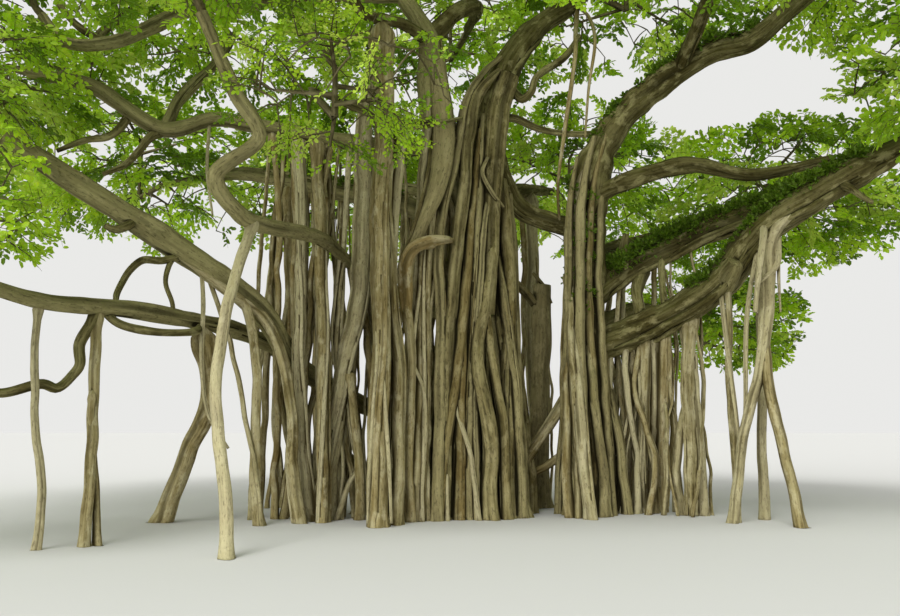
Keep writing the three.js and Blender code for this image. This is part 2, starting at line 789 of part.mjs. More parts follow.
// The twigs and leaves of a mass: a stem from the tip of the bough, twigs that spread from its end
// by the golden angle, and on each twig a leaf at its tip and one to either side
function growMass(mass, seed) {
  const random = seeded(seed);
  const centre = vector(mass.centre);
  const bough = limbsByName.get(mass.bough)[0];
  const tip = bough.curve.getPointAt(1);
  const heading = bough.curve.getTangentAt(1);
  const nearby = limbPoints.filter(({ at, radius }) => depthIn(mass, at) < 4 * (1 + radius));
  const hub = centre.clone();
  hub.z -= STEM_RISE * mass.reach * FLATNESS;
  const start = tip.clone().addScaledVector(heading, GAP);
  const bend = start.clone().addScaledVector(heading, 0.35 * start.distanceTo(hub));
  const top = centre.clone();
  top.z += STEM_RISE * mass.reach * FLATNESS;
  const stem = new THREE.CatmullRomCurve3([start, bend, hub], false, "centripetal");
  const leader = { from: hub, to: top, radii: LEADER_RADII };
  const twigs = [];
  const leaves = [];

  const addTwig = (from, direction) => {
    for (const share of [0.44, 0.36, 0.28, 0.2]) {
      const to = stepFrom(from, direction, mass.reach * share);
      const twig = { from, to, radii: TWIG_RADII };
      if (twigIsClear(mass, twig, nearby)) {
        twigs.push(twig);
        return true;
      }
    }
    return false;
  };

  const addLeaf = (root, direction) => {
    for (const [share, away] of [[1, 0.2], [1, 0.7], [0.85, 0.4], [0.8, 0.9], [0.65, 0.5], [0.6, 1.1]]) {
      const blade = turned(direction, away, random() * 2 * Math.PI);
      const outward = root.clone().sub(centre).normalize();
      const facing = outward.add(new THREE.Vector3(0, 0, 0.6)).normalize();
      facing.addScaledVector(new THREE.Vector3(random() - 0.5, random() - 0.5, random() - 0.5), 0.9);
      const side = new THREE.Vector3().crossVectors(facing, blade).normalize();
      const normal = new THREE.Vector3().crossVectors(blade, side).normalize();
      const length = mass.reach * LEAF_LENGTH * share * (0.9 + 0.2 * random());
      const leaf = { root, direction: blade, side, normal, length };
      const crossed =
        leaves.some((other) => leavesCross(leaf, other)) ||
        twigs.some((twig) => lineCrossesLeaf(twig.from, twig.to, leaf));
      if (!crossed && leafIsClear(mass, leaf, nearby)) {
        leaves.push(leaf);
        return;
      }
    }
  };

  const spin = random() * 2 * Math.PI;
  const directions = [];
  for (let i = 0; i < TWIGS; i++) {
    const rise = 0.95 - (1.5 * (i + 0.5)) / TWIGS;
    const across = Math.sqrt(1 - rise * rise);
    const turn = spin + i * GOLDEN_ANGLE;
    const direction = new THREE.Vector3(across * Math.cos(turn), across * Math.sin(turn), rise);
    const from = top.clone().lerp(hub, (0.96 * i + 0.02) / (TWIGS - 1));
    if (addTwig(from, direction)) directions.push(direction);
  }
  twigs.forEach((twig, i) => {
    const around = random() * Math.PI;
    addLeaf(twig.from.clone().lerp(twig.to, 0.97), directions[i]);
    addLeaf(twig.from.clone().lerp(twig.to, 0.72), turned(directions[i], 1.0, around));
    addLeaf(twig.from.clone().lerp(twig.to, 0.5), turned(directions[i], 1.0, around + Math.PI));
  });
  return { stem, twigs: [leader, ...twigs], leaves };
}

// A three-sided twig
function twigSolid(curve, radii, steps) {
  return limbSolid({ curve, radii, steps, sides: 3, flutes: 0, fluteDepth: 0 }, 0);
}

// A leaf of eight faces, thick enough to be a solid, with its root sunk in the twig
function leafSolid(leaf) {
  const blade = new THREE.OctahedronGeometry(1, 0);
  const place = blade.attributes.position;
  const { root, tip, left, right, upper, lower } = leafCorners(leaf);
  for (let i = 0; i < place.count; i++) {
    const [x, y, z] = [place.getX(i), place.getY(i), place.getZ(i)].map(Math.round);
    const corner = x ? (x > 0 ? tip : root) : y ? (y > 0 ? left : right) : z > 0 ? upper : lower;
    place.setXYZ(i, corner.x, corner.y, corner.z);
  }
  return solidOf(blade);
}

const group = new THREE.Group();
const limbsByName = new Map();
const cutters = [];

function boxesMeet(a, b) {
  return [0, 1, 2].every((axis) => a.min[axis] <= b.max[axis] && b.min[axis] <= a.max[axis]);
}

function largestBody(solid) {
  return solid.decompose().reduce((best, body) => (body.volume() > best.volume() ? body : best));
}

function addMesh(name, solid, colour) {
  const mesh = solid.getMesh();
  const geometry = new THREE.BufferGeometry();
  geometry.setAttribute("position", new THREE.BufferAttribute(mesh.vertProperties, 3));
  geometry.setIndex(new THREE.BufferAttribute(mesh.triVerts, 1));
  geometry.computeVertexNormals();
  const material = new THREE.MeshStandardMaterial({ color: colour, roughness: 0.9 });
  const piece = new THREE.Mesh(geometry, material);
  piece.name = name;
  group.add(piece);
}

// A woody piece: its limbs fused, cut flat at the ground, and cut clear of the pieces made before
function addWood(name, limbs, colour) {
  let solid = wasm.Manifold.union(limbs.map((limb) => limbSolid(limb, 0)));
  solid = solid.trimByPlane([0, 0, 1], 0);
  for (const cutter of cutters) {
    if (boxesMeet(solid.boundingBox(), cutter.boundingBox())) solid = solid.subtract(cutter);
  }
  limbsByName.set(name, limbs);
  limbs.forEach((limb) => {
    noteLimb(limb);
    cutters.push(limbSolid(limb, GAP));
  });
  addMesh(name, largestBody(solid).asOriginal().simplify(WOOD_DETAIL), colour);
}

addWood("trunk", planTrunk(), BARK);
addWood("trunk_right", planSecondTrunk(), BARK);
addWood("trunk_stump", planStump(), DARK_BARK);
for (const bough of BOUGHS) {
  addWood(bough.name, [planLimb(bough.path, bough.radii, { step: bough.step })], BARK);
}
PROP_ROOTS.forEach(({ name, roots }, i) => {
  const random = seeded(100 + i);
  addWood(name, roots.map((root) => planRoot({ ...root, random })), PALE_BARK);
});
MASSES.forEach((mass, i) => {
  const { stem, twigs, leaves } = growMass(mass, 500 + i);
  const solids = [twigSolid(stem, STEM_RADII, STEM_STEPS)];
  twigs.forEach((twig) => {
    solids.push(twigSolid(new THREE.LineCurve3(twig.from, twig.to), twig.radii, 1));
  });
  leaves.forEach((leaf) => solids.push(leafSolid(leaf)));
  const fused = wasm.Manifold.union(solids).asOriginal().simplify(TWIG_DETAIL);
  addMesh(mass.name, largestBody(fused), new THREE.Color(LEAF_GREENS[i % LEAF_GREENS.length]));
});

export default group;
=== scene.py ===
import math

import bmesh
import bpy
import numpy as np
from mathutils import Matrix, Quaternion, Vector
from mathutils.bvhtree import BVHTree
from mathutils.kdtree import KDTree


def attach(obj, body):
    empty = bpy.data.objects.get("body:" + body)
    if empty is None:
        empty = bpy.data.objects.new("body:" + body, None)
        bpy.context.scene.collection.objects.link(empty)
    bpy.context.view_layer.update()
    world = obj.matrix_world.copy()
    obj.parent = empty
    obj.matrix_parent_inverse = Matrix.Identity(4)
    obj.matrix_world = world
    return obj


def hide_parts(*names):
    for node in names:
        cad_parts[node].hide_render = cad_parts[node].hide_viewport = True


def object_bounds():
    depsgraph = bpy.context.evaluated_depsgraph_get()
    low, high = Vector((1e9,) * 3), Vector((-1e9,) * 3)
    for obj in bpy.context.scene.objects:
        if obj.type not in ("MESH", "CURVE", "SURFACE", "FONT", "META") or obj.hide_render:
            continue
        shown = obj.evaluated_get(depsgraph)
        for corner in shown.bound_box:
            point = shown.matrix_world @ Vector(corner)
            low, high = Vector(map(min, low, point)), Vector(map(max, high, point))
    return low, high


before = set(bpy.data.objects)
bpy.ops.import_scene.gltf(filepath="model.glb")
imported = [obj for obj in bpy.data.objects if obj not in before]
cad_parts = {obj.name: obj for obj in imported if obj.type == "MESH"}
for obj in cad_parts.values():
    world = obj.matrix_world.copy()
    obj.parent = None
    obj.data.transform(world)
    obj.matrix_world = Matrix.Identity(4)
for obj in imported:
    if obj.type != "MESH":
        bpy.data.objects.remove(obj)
solid_low, solid_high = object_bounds()


# Trunk
# The real trunk is a bundle of aerial roots that have grown together round an old core.
# The bark is thin, grey brown and smooth; the deep gaps between the fused roots lie in shade, which the
# bark's colour paints in.


def seeded(seed):
    """The solid parts' seeded sequence of numbers between 0 and 1."""
    state = (seed * 7919 + 104729) & 0xFFFFFFFF

    def draw():
        nonlocal state
        state = (state * 1664525 + 1013904223) & 0xFFFFFFFF
        return state / 4294967296

    return draw


CURVE_PLACES = 201


def smooth_curve(points):
    """Many places on the smooth curve through some points, and the run to each."""
    given = np.array(points, float)
    given = np.vstack([2 * given[0] - given[1], given, 2 * given[-1] - given[-2]])
    parameter = np.linspace(0, len(points) - 1, CURVE_PLACES)
    piece = np.minimum(parameter.astype(int), len(points) - 2)
    weight = (parameter - piece)[:, None]
    gaps = np.sqrt(np.linalg.norm(np.diff(given, axis=0), axis=1))[:, None]
    before, across, after = gaps[piece], gaps[piece + 1], gaps[piece + 2]
    a, b, c, d = (given[piece + k] for k in range(4))
    leaving = ((b - a) / before - (c - a) / (before + across) + (c - b) / across) * across
    arriving = ((c - b) / across - (d - b) / (across + after) + (d - c) / after) * across
    square = 3 * (c - b) - 2 * leaving - arriving
    cube = 2 * (b - c) + leaving + arriving
    places = b + leaving * weight + square * weight**2 + cube * weight**3
    steps = np.linalg.norm(np.diff(places, axis=0), axis=1)
    return places, np.concatenate([[0], np.cumsum(steps)])


def places_along(curve, shares):
    """The places at some shares of a curve's length."""
    places, run = curve
    return np.stack([np.interp(shares * run[-1], run, places[:, k]) for k in range(3)], 1)


def sizes_along(sizes, shares):
    """The sizes at some shares of a length, from sizes given at even steps."""
    return np.interp(shares, np.linspace(0, 1, len(sizes)), sizes)


# A root's line starts a little below the ground, where its skin is cut off flat. It strays to
# either side at about every ROOT_PART of its height, and ROOT_SHARES are its radii from the foot up.
BURIED = 0.3
ROOT_PART = 3.2
ROOT_WANDER = 0.09
ROOT_SHARES = (1.75, 1.2, 1.08, 1, 1, 0.95)


def root_plan(foot, by, top, radius, random):
    """The points and radii of a root from its foot to its bough, by the solid parts' own rule."""
    ends = [(foot[0], foot[1], 0), *by, top]
    points = [(foot[0], foot[1], -BURIED)]
    for i, (start, end) in enumerate(zip(ends, ends[1:])):
        parts = max(1, math.floor((end[2] - start[2]) / ROOT_PART + 0.5))
        part = 0.35 if i == 0 else 0
        while part < parts:
            share = part / parts
            wander = ROOT_WANDER if share > 0 else 0
            x = start[0] + (end[0] - start[0]) * share + wander * (random() * 2 - 1)
            y = start[1] + (end[1] - start[1]) * share + wander * (random() * 2 - 1)
            points.append((x, y, start[2] + (end[2] - start[2]) * share))
            part += 1
    points.append(top)
    return points, [radius * share for share in ROOT_SHARES]


def around(centre, reach, turn):
    """The place on the ground at a reach and a turn round a centre."""
    return centre[0] + reach * math.cos(turn), centre[1] + reach * math.sin(turn)


LIMB_STEP = 0.16
limb_places = []
limb_radii = []


def note_limb(points, radii):
    """Keeps places along a limb, for the foliage to stay clear of."""
    curve = smooth_curve(points)
    count = math.ceil(curve[1][-1] / LIMB_STEP)
    shares = np.linspace(0, 1, count + 1)
    limb_places.append(places_along(curve, shares))
    limb_radii.append(sizes_along(radii, shares))


def strand(points, radii, seed, spacing=0.1, sides=18, lobes=0.09, knobs=0.04, wander=0.0,
           foot=False, joint=0.0, tint=0.0, shade=0.0):
    """A limb to be skinned: its path, its rings and the relief of its surface.

    The tint goes from -1, ochre, to 1, pale, and the shade is painted shade that darkens the whole strand,
    most in its recesses.
    """
    return dict(points=points, radii=radii, seed=seed, spacing=spacing, sides=sides, lobes=lobes,
                knobs=knobs, wander=wander, foot=foot, joint=joint, tint=tint, shade=shade)


EVEN_SHARES = (1.18, 1.06, 1.02, 1, 1)


def root_strand(points, radius, seed, tip=0.95, shares=EVEN_SHARES, **choices):
    """A root that stands on the ground: hardly flared at its foot, and wandering as it rises."""
    radii = [radius * share for share in (*shares, tip)]
    choices.setdefault("sides", 20 if radius > 0.15 else 14)
    choices.setdefault("wander", 0.035)
    return strand(points, radii, seed, foot=True, **choices)


def drift(run, gap, dice):
    """A smooth random drift along a run, up to one unit to either side, with a knot at each gap."""
    heights = dice.uniform(-1, 1, int(run[-1] / gap) + 3)
    low = (run / gap).astype(int)
    share = run / gap - low
    share = share * share * (3 - 2 * share)
    return heights[low] * (1 - share) + heights[low + 1] * share


def course(limb, rings):
    """The run, the path and the radius of a limb at each of its rings."""
    dice = np.random.default_rng(limb["seed"])
    curve = smooth_curve(limb["points"])
    shares = np.linspace(0, 1, rings)
    run = shares * curve[1][-1]
    path = places_along(curve, shares)
    hold = np.minimum(1, 6 * shares) * np.minimum(1, 6 - 6 * shares)
    for axis in (0, 1):
        path[:, axis] += limb["wander"] * hold * (drift(run, 1.4, dice) + 0.5 * drift(run, 0.5, dice))
    radius = sizes_along(limb["radii"], shares)
    radius *= 1 + limb["knobs"] * (drift(run, 0.9, dice) + 0.8 * drift(run, 0.35, dice))
    if limb["joint"]:
        until = (run[-1] - run) / limb["radii"][-1]
        radius *= 1 + limb["joint"] * np.exp(-(((until - 2.4) / 1.8) ** 2))
        radius *= np.minimum(1, 0.3 + until / 2)
    return run, path, radius


def frames_along(path):
    """Two directions across a path at each of its places, carried along it without a twist."""
    ahead = np.gradient(path, axis=0)
    ahead /= np.linalg.norm(ahead, axis=1)[:, None]
    current = np.array([1.0, 0, 0]) if abs(ahead[0][0]) < 0.8 else np.array([0, 1.0, 0])
    across = np.zeros_like(path)
    for k, direction in enumerate(ahead):
        current = current - direction * current.dot(direction)
        current = current / np.linalg.norm(current)
        across[k] = current
    return across, np.cross(ahead, across)


# How many steps a limb is cut into where a thinner root is laid along it.
HUGGING_RINGS = 48


def hugging(limb, seed, tint=0.0, size=(0.2, 0.38)):
    """A thinner root that has grown fast along the side of a limb."""
    run, path, radius = course(limb, HUGGING_RINGS)
    across, beside = frames_along(path)
    dice = np.random.default_rng(seed)
    turn = dice.uniform(0, 6.28) + dice.uniform(-0.35, 0.35) * run
    spoke = across * np.cos(turn)[:, None] + beside * np.sin(turn)[:, None]
    first = 0 if limb["foot"] else int(HUGGING_RINGS * dice.uniform(0.02, 0.4))
    last = int(HUGGING_RINGS * dice.uniform(0.55, 1.0))
    points = (path + spoke * (0.96 * radius)[:, None])[first:last:4]
    width = dice.uniform(*size) * radius[first:last].mean()
    foot = 1.0 if limb["foot"] else 0.3
    radii = [width * part for part in (foot, 1.0, 1.0, 0.95, 0.8, 0.25)]
    return strand(points, radii, seed, spacing=0.14, sides=9, knobs=0.06, tint=tint)


# How soon the toes of a foot die out above the ground.
TOE_HEIGHT = 0.2


def skin(limb, turn, ring):
    """Places on a limb's surface, the ways they face, their grain and their painted shade, darker in the
    recesses of the surface.
    """
    run, path, radius = course(limb, int(ring.max()) + 1)
    dice = np.random.default_rng(limb["seed"] + 5000)
    relief = np.zeros(len(turn))
    for count in (2, 3, 5, 8):
        twist = dice.uniform(-0.3, 0.3) * run + 1.2 * drift(run, 1.6, dice)
        size = limb["lobes"] * dice.uniform(0.6, 1.1) * 2.4 / (count + 1)
        relief += size * np.cos(count * turn + dice.uniform(0, 6.28) + twist[ring])
    if limb["foot"]:
        height = np.maximum(path[ring, 2], 0)
        toes = np.cos(3 * turn + dice.uniform(0, 6.28)) + 0.6 * np.cos(7 * turn + dice.uniform(0, 6.28))
        relief += (0.1 + 0.14 * toes) * np.exp(-height / TOE_HEIGHT)
    across, beside = frames_along(path)
    size = radius[ring] * (1 + relief)
    spoke = across[ring] * np.cos(turn)[:, None] + beside[ring] * np.sin(turn)[:, None]
    place = path[ring] + spoke * size[:, None]
    place[:, 2] = np.maximum(place[:, 2], 0)
    mean = radius.mean()
    start = dice.uniform(0, 40)
    grain = np.stack([np.cos(turn) * mean, np.sin(turn) * mean, run[ring] + start], 1)
    # Painted shade: darker where the surface sinks between its ridges, and over a whole strand by its shade.
    hollow_shade = np.clip(0.5 - relief / (2.4 * limb["lobes"]) + limb["shade"], 0, 1)
    return place, spoke, grain, hollow_shade


# A place in the bark gets painted shade from what stands nearer than a gap's width, straight
# ahead of it and to either side.
GAP_WIDTH = 0.55
SIGHT_LINES = (-1.1, 0.0, 1.1)


def measure_gap_shade(places, facing, loops, sizes):
    """Painted shade where the strands of a piece close a place in: 0 in the open, near 1 deep in a gap."""
    faces = np.split(loops, np.cumsum(sizes)[:-1])
    surface = BVHTree.FromPolygons(places.tolist(), [face.tolist() for face in faces])
    side = np.stack([-facing[:, 1], facing[:, 0], np.zeros(len(facing))], 1)
    starts = places + 0.02 * facing
    gap_shade = np.zeros(len(places))
    for sideways in SIGHT_LINES:
        ways = facing + sideways * side
        for k, (start, way) in enumerate(zip(starts.tolist(), ways.tolist())):
            gap = surface.ray_cast(start, way, GAP_WIDTH)[3]
            if gap is not None:
                gap_shade[k] += (1 - gap / GAP_WIDTH) / len(SIGHT_LINES)
    return gap_shade


tubes = {}


def straight_tube(sides, steps):
    """A straight tube of unit radius, capped at both ends, with a ring at each unit of its height."""
    if (sides, steps) not in tubes:
        shape = bmesh.new()
        circle = bmesh.ops.create_circle(shape, segments=sides, radius=1.0)["verts"]
        edges = list({edge for vertex in circle for edge in vertex.link_edges})
        bmesh.ops.spin(shape, geom=edges, axis=(0, 0, 1), dvec=(0, 0, 1), angle=0, steps=steps)
        bmesh.ops.holes_fill(shape, edges=[edge for edge in shape.edges if edge.is_boundary], sides=0)
        bmesh.ops.recalc_face_normals(shape, faces=shape.faces)
        corners = np.array([vertex.co for vertex in shape.verts])
        loops = np.array([vertex.index for face in shape.faces for vertex in face.verts])
        sizes = np.array([len(face.verts) for face in shape.faces])
        shape.free()
        tubes[sides, steps] = corners, loops, sizes
    return tubes[sides, steps]


def bark_piece(name, strands, material, nodes=()):
    """One piece of wood: a straight tube for each strand, bent and swollen into its place."""
    places, facing, grains, hollow_shades, tints, loops, sizes = [], [], [], [], [], [], []
    first = 0
    for limb in strands:
        length = smooth_curve(limb["points"])[1][-1]
        steps = max(4, round(length / limb["spacing"]))
        corners, tube_loops, tube_sizes = straight_tube(limb["sides"], steps)
        turn = np.arctan2(corners[:, 1], corners[:, 0])
        place, spoke, grain, hollow_shade = skin(limb, turn, np.rint(corners[:, 2]).astype(int))
        places.append(place)
        facing.append(spoke)
        grains.append(grain)
        hollow_shades.append(hollow_shade)
        tints.append(np.full(len(corners), limb["tint"]))
        loops.append(tube_loops + first)
        sizes.append(tube_sizes)
        first += len(corners)
    places, loops, sizes = np.vstack(places), np.concatenate(loops), np.concatenate(sizes)
    attributes = [
        ("grain", "FLOAT_VECTOR", "vector", np.vstack(grains)),
        # Painted shade, in each strand's recesses and where other strands close it in.
        ("hollow_shade", "FLOAT", "value", np.concatenate(hollow_shades)),
        ("tint", "FLOAT", "value", np.concatenate(tints)),
        ("gap_shade", "FLOAT", "value", measure_gap_shade(places, np.vstack(facing), loops, sizes)),
    ]
    piece = mesh_piece(name, places, loops, sizes, material, nodes, attributes)
    piece.data.shade_smooth()
    return piece


def mesh_piece(name, places, loops, sizes, material, nodes=(), attributes=()):
    """A piece from arrays: places, the corners of all faces in turn and the size of each face."""
    mesh = bpy.data.meshes.new(name)
    mesh.vertices.add(len(places))
    mesh.vertices.foreach_set("co", places.astype(np.float32).ravel())
    mesh.loops.add(len(loops))
    mesh.loops.foreach_set("vertex_index", loops.astype(np.int32))
    mesh.polygons.add(len(sizes))
    mesh.polygons.foreach_set("loop_start", (np.cumsum(sizes) - sizes).astype(np.int32))
    mesh.update(calc_edges=True)
    mesh.validate()
    for key, kind, field, values in attributes:
        layer = mesh.attributes.new(key, kind, "POINT")
        layer.data.foreach_set(field, values.astype(np.float32).ravel())
    mesh.materials.append(material)
    piece = bpy.data.objects.new(name, mesh)
    bpy.context.scene.collection.objects.link(piece)
    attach(piece, "root")
    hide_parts(*nodes)
    return piece


class Finish:
    """A material being put together, with a short call for each kind of node that it uses."""

    def __init__(self, name, roughness, specular):
        self.material = bpy.data.materials.new(name)
        self.material.use_nodes = True
        self.shader = self.material.node_tree.nodes["Principled BSDF"]
        self.shader.inputs["Roughness"].default_value = roughness
        self.shader.inputs["Specular IOR Level"].default_value = specular

    def link(self, output, socket):
        """Joins one node's output to another's input."""
        self.material.node_tree.links.new(output, socket)

    def node(self, kind, **values):
        """A new node; a value named with capitals is a socket's, and any other is the node's own."""
        made = self.material.node_tree.nodes.new(kind)
        for key, value in values.items():
            if key.istitle():
                made.inputs[key].default_value = value
            else:
                setattr(made, key, value)
        return made

    def attribute(self, name, output="Fac"):
        """What the mesh holds under a name at each of its points."""
        return self.node("ShaderNodeAttribute", attribute_name=name).outputs[output]

    def axes(self, vector):
        """The X, Y and Z of a vector."""
        made = self.node("ShaderNodeSeparateXYZ")
        self.link(vector, made.inputs["Vector"])
        return made.outputs

    def noise(self, vector, detail, stretch):
        """A soft noise, finer along an axis the more it is stretched."""
        mapping = self.node("ShaderNodeMapping", Scale=stretch)
        self.link(vector, mapping.inputs["Vector"])
        made = self.node("ShaderNodeTexNoise", Scale=1.0, Detail=detail, Roughness=0.6)
        self.link(mapping.outputs["Vector"], made.inputs["Vector"])
        return made.outputs["Fac"]

    def range_of(self, value, low, high, to_low=0.0, to_high=1.0):
        """A value that goes from to_low to to_high as another goes from low to high."""
        made = self.node("ShaderNodeMapRange")
        for key, number in zip(("From Min", "From Max", "To Min", "To Max"), (low, high, to_low, to_high)):
            made.inputs[key].default_value = number
        self.link(value, made.inputs["Value"])
        return made.outputs["Result"]

    def mix(self, factor, first, second, blend="MIX"):
        """A mix of two colours, each a plain colour or another node's, by a number or a node's."""
        made = self.node("ShaderNodeMix", data_type="RGBA", blend_type=blend)
        sockets = (made.inputs["Factor"], made.inputs[6], made.inputs[7])
        for socket, value in zip(sockets, (factor, first, second)):
            if isinstance(value, tuple):
                socket.default_value = (*value, 1)
            elif isinstance(value, float):
                socket.default_value = value
            else:
                self.link(value, socket)
        return made.outputs[2]

    def product(self, first, second):
        """One value times another."""
        made = self.node("ShaderNodeMath", operation="MULTIPLY")
        self.link(first, made.inputs[0])
        self.link(second, made.inputs[1])
        return made.outputs[0]

    def raised(self, value, share, onto):
        """A share of a value laid onto another."""
        made = self.node("ShaderNodeMath", operation="MULTIPLY_ADD")
        made.inputs[1].default_value = share
        self.link(value, made.inputs[0])
        self.link(onto, made.inputs[2])
        return made.outputs[0]


def bark_material(name, dark, base, pale, ochre, moss, moss_share):
    """Thin fig bark: streaks along the limb, specks, pale lichen and moss on the upper side, with painted
    shade in the recesses and in the gaps between strands.
    """
    bark = Finish(name, roughness=0.92, specular=0.08)
    mix, noise, range_of = bark.mix, bark.noise, bark.range_of
    grain = bark.attribute("grain", "Vector")
    tint = bark.attribute("tint")
    place = bark.node("ShaderNodeTexCoord").outputs["Object"]
    streaks = noise(grain, 7, (13, 13, 0.9))
    specks = noise(grain, 4, (26, 26, 7))
    bands = noise(grain, 3, (4, 4, 30))
    patches = noise(place, 4, (0.8, 0.8, 0.8))
    blots = noise(grain, 6, (4, 4, 2.0))
    colour = mix(range_of(streaks, 0.4, 0.58), dark, base)
    colour = mix(range_of(patches, 0.36, 0.62), colour, mix(range_of(streaks, 0.35, 0.68), base, pale))
    colour = mix(range_of(tint, 0.0, -1.0, 0.0, 0.6), colour, ochre)
    colour = mix(range_of(tint, 0.0, 1.0, 0.0, 0.9), colour, pale)
    colour = mix(range_of(blots, 0.53, 0.62, 0.0, 0.5), colour, pale)
    colour = mix(range_of(specks, 0.46, 0.34, 0.0, 0.55), colour, dark)
    rise = bark.axes(bark.node("ShaderNodeNewGeometry").outputs["Normal"])["Z"]
    upward = range_of(rise, -0.3, 0.8, 0.2, 1.0)
    mossy = bark.product(upward, range_of(patches, 0.38, 0.56, 0.15 * moss_share, moss_share))
    colour = mix(bark.product(mossy, range_of(specks, 0.4, 0.55, 0.5, 1.0)), colour, moss)
    # Painted shade in the bark's recesses and on the shaded strands.
    colour = mix(range_of(bark.attribute("hollow_shade"), 0.6, 1.0, 0.0, 0.7), colour, dark)
    # Painted shade where other strands close the bark in, deepest in the gaps between them.
    colour = mix(range_of(bark.attribute("gap_shade"), 0.1, 0.52, 0.0, 0.97), colour, dark)
    bark.link(colour, bark.shader.inputs["Base Color"])
    bump = bark.node("ShaderNodeBump", Strength=0.9, Distance=0.06)
    bark.link(bark.raised(bands, 0.3, bark.raised(specks, 0.5, streaks)), bump.inputs["Height"])
    bark.link(bump.outputs["Normal"], bark.shader.inputs["Normal"])
    return bark.material


trunk_bark = bark_material(
    "trunk_bark", dark=(0.026, 0.021, 0.008), base=(0.2, 0.16, 0.06), pale=(0.45, 0.39, 0.2),
    ochre=(0.23, 0.155, 0.05), moss=(0.07, 0.09, 0.012), moss_share=0.4,
)


def add_placed_strands(bundle, rows, tints, random, seed, hugging_tint):
    """Strands whose places the photograph shows, each with a thinner root fast to its side."""
    for i, ((foot, by, top, radius), tint) in enumerate(zip(rows, tints)):
        points, radii = root_plan(foot, by, top, radius, random)
        note_limb(points, radii)
        bundle.append(root_strand(points, radius, seed + i, tip=0.5, tint=tint))
        bundle.append(hugging(bundle[-1], seed + len(rows) + i, tint=hugging_tint))


def add_seeded_strand(bundle, plan, seed, hugging_seed, shade):
    """A strand of a trunk's seeded ring, with a thinner root fast to its side."""
    points, radii = root_plan(**plan)
    random = plan["random"]
    bundle.append(root_strand(points, radii[3], seed, spacing=0.12, sides=14, tip=0.3,
                              tint=random() - 0.6, shade=shade))
    bundle.append(hugging(bundle[-1], hugging_seed, tint=random() - 0.2, size=(0.25, 0.45)))


def add_tall_roots(bundle, rows, seed, hugging_seed, tip):
    """Roots that run from the ground up past the fork, each with a thinner root fast to its side."""
    for i, (points, radius, tint) in enumerate(rows):
        bundle.append(root_strand(points, radius, seed + i, tip=tip, tint=tint))
        bundle.append(hugging(bundle[-1], hugging_seed + i, tint=-tint))


# The middle trunk. A placed strand is its foot, the places that it goes by, its top and its radius.
TRUNK_FOOT = (0.1, 0.5)
TRUNK_WAIST = (0.06, 0.45)
TRUNK_TOP = (0, 0.3)
TRUNK_PATH = [(0.1, 0.5, -BURIED), (0.1, 0.5, 2.4), (0.0, 0.4, 5.4), (-0.1, 0.2, 9.3)]
TRUNK_RADII = [1.15, 1.0, 0.92, 0.88, 0.84, 0.78, 0.5]
TRUNK_ROOTS = 6
TRUNK_RING = 26
TRUNK_STRANDS = [
    ((-1.15, -1.15), [(-0.67, -1.05, 3.5), (-0.45, -0.95, 5.6), (-0.3, -0.7, 7.7)], (-0.2, -0.15, 9.2), 0.17),
    ((-0.82, -0.75), [(-0.62, -0.8, 3.4), (-0.3, -0.75, 6.0)], (0.15, -0.3, 8.6), 0.14),
    ((0.33, -1.0), [(0.3, -1.05, 2.1), (-0.05, -0.95, 4.4), (0.2, -0.75, 6.1)], (0.35, -0.3, 8.8), 0.19),
    ((0.72, -0.85), [(0.6, -0.85, 2.6), (0.3, -0.85, 4.6)], (0.2, -0.75, 6.0), 0.13),
    ((1.15, -0.45), [(1.0, -0.5, 3.5)], (0.55, -0.15, 7.2), 0.14),
    ((-1.45, -0.5), [(-1.1, -0.7, 4.5)], (-0.6, -0.1, 8.6), 0.12),
]
TRUNK_TINTS = [-0.6, 0.3, 0.1, -0.2, 0.2, 0.0]
note_limb(TRUNK_PATH, TRUNK_RADII)
core_radii = [0.78 * radius for radius in TRUNK_RADII]
# Painted shade: the core, deep in the bundle, gets a dark shade.
trunk = [strand(TRUNK_PATH, core_radii, 1, spacing=0.14, sides=48, lobes=0.12, shade=0.8)]
random = seeded(11)
for i in range(TRUNK_ROOTS):
    turn = i / TRUNK_ROOTS * 2 * math.pi + 0.5 * random()
    spread = 1.2 + 0.35 * random()
    height = 5.6 + 3.0 * random()
    points, radii = root_plan(
        foot=(TRUNK_FOOT[0] + spread * math.cos(turn), TRUNK_FOOT[1] + spread * math.sin(turn) * 0.9),
        by=[(0.08 + 0.98 * math.cos(turn), 0.45 + 0.95 * math.sin(turn), height * 0.55)],
        top=(0.55 * math.cos(turn), 0.3 + 0.55 * math.sin(turn), height),
        radius=0.15 + 0.07 * random(),
        random=random,
    )
    note_limb(points, radii)
    trunk.append(root_strand(points, radii[3], 20 + i, tip=0.4))
add_placed_strands(trunk, TRUNK_STRANDS, TRUNK_TINTS, random, seed=30, hugging_tint=0.5)
for i in range(TRUNK_RING):
    turn = (i + 0.5 * random()) / TRUNK_RING * 2 * math.pi
    outer = i % 2
    out = 0.84 + 0.28 * outer + 0.14 * random()
    height = 5.2 + 3.4 * random()
    lean = (0.35 + 0.4 * outer) * (random() - 0.5)
    waist = (out - 0.12) * 0.95
    plan = dict(
        foot=around(TRUNK_FOOT, out, turn),
        by=[(*around(TRUNK_WAIST, waist, turn + lean), height * 0.5)],
        top=(*around(TRUNK_TOP, 0.5, turn + lean), height),
        radius=0.14 - 0.08 * outer + (0.05 + 0.05 * outer) * random(),
        random=random,
    )
    # Painted shade: the inner strands of the ring are darker than the outer ones.
    add_seeded_strand(trunk, plan, 60 + i, 140 + i, shade=0.45 - 0.45 * outer)
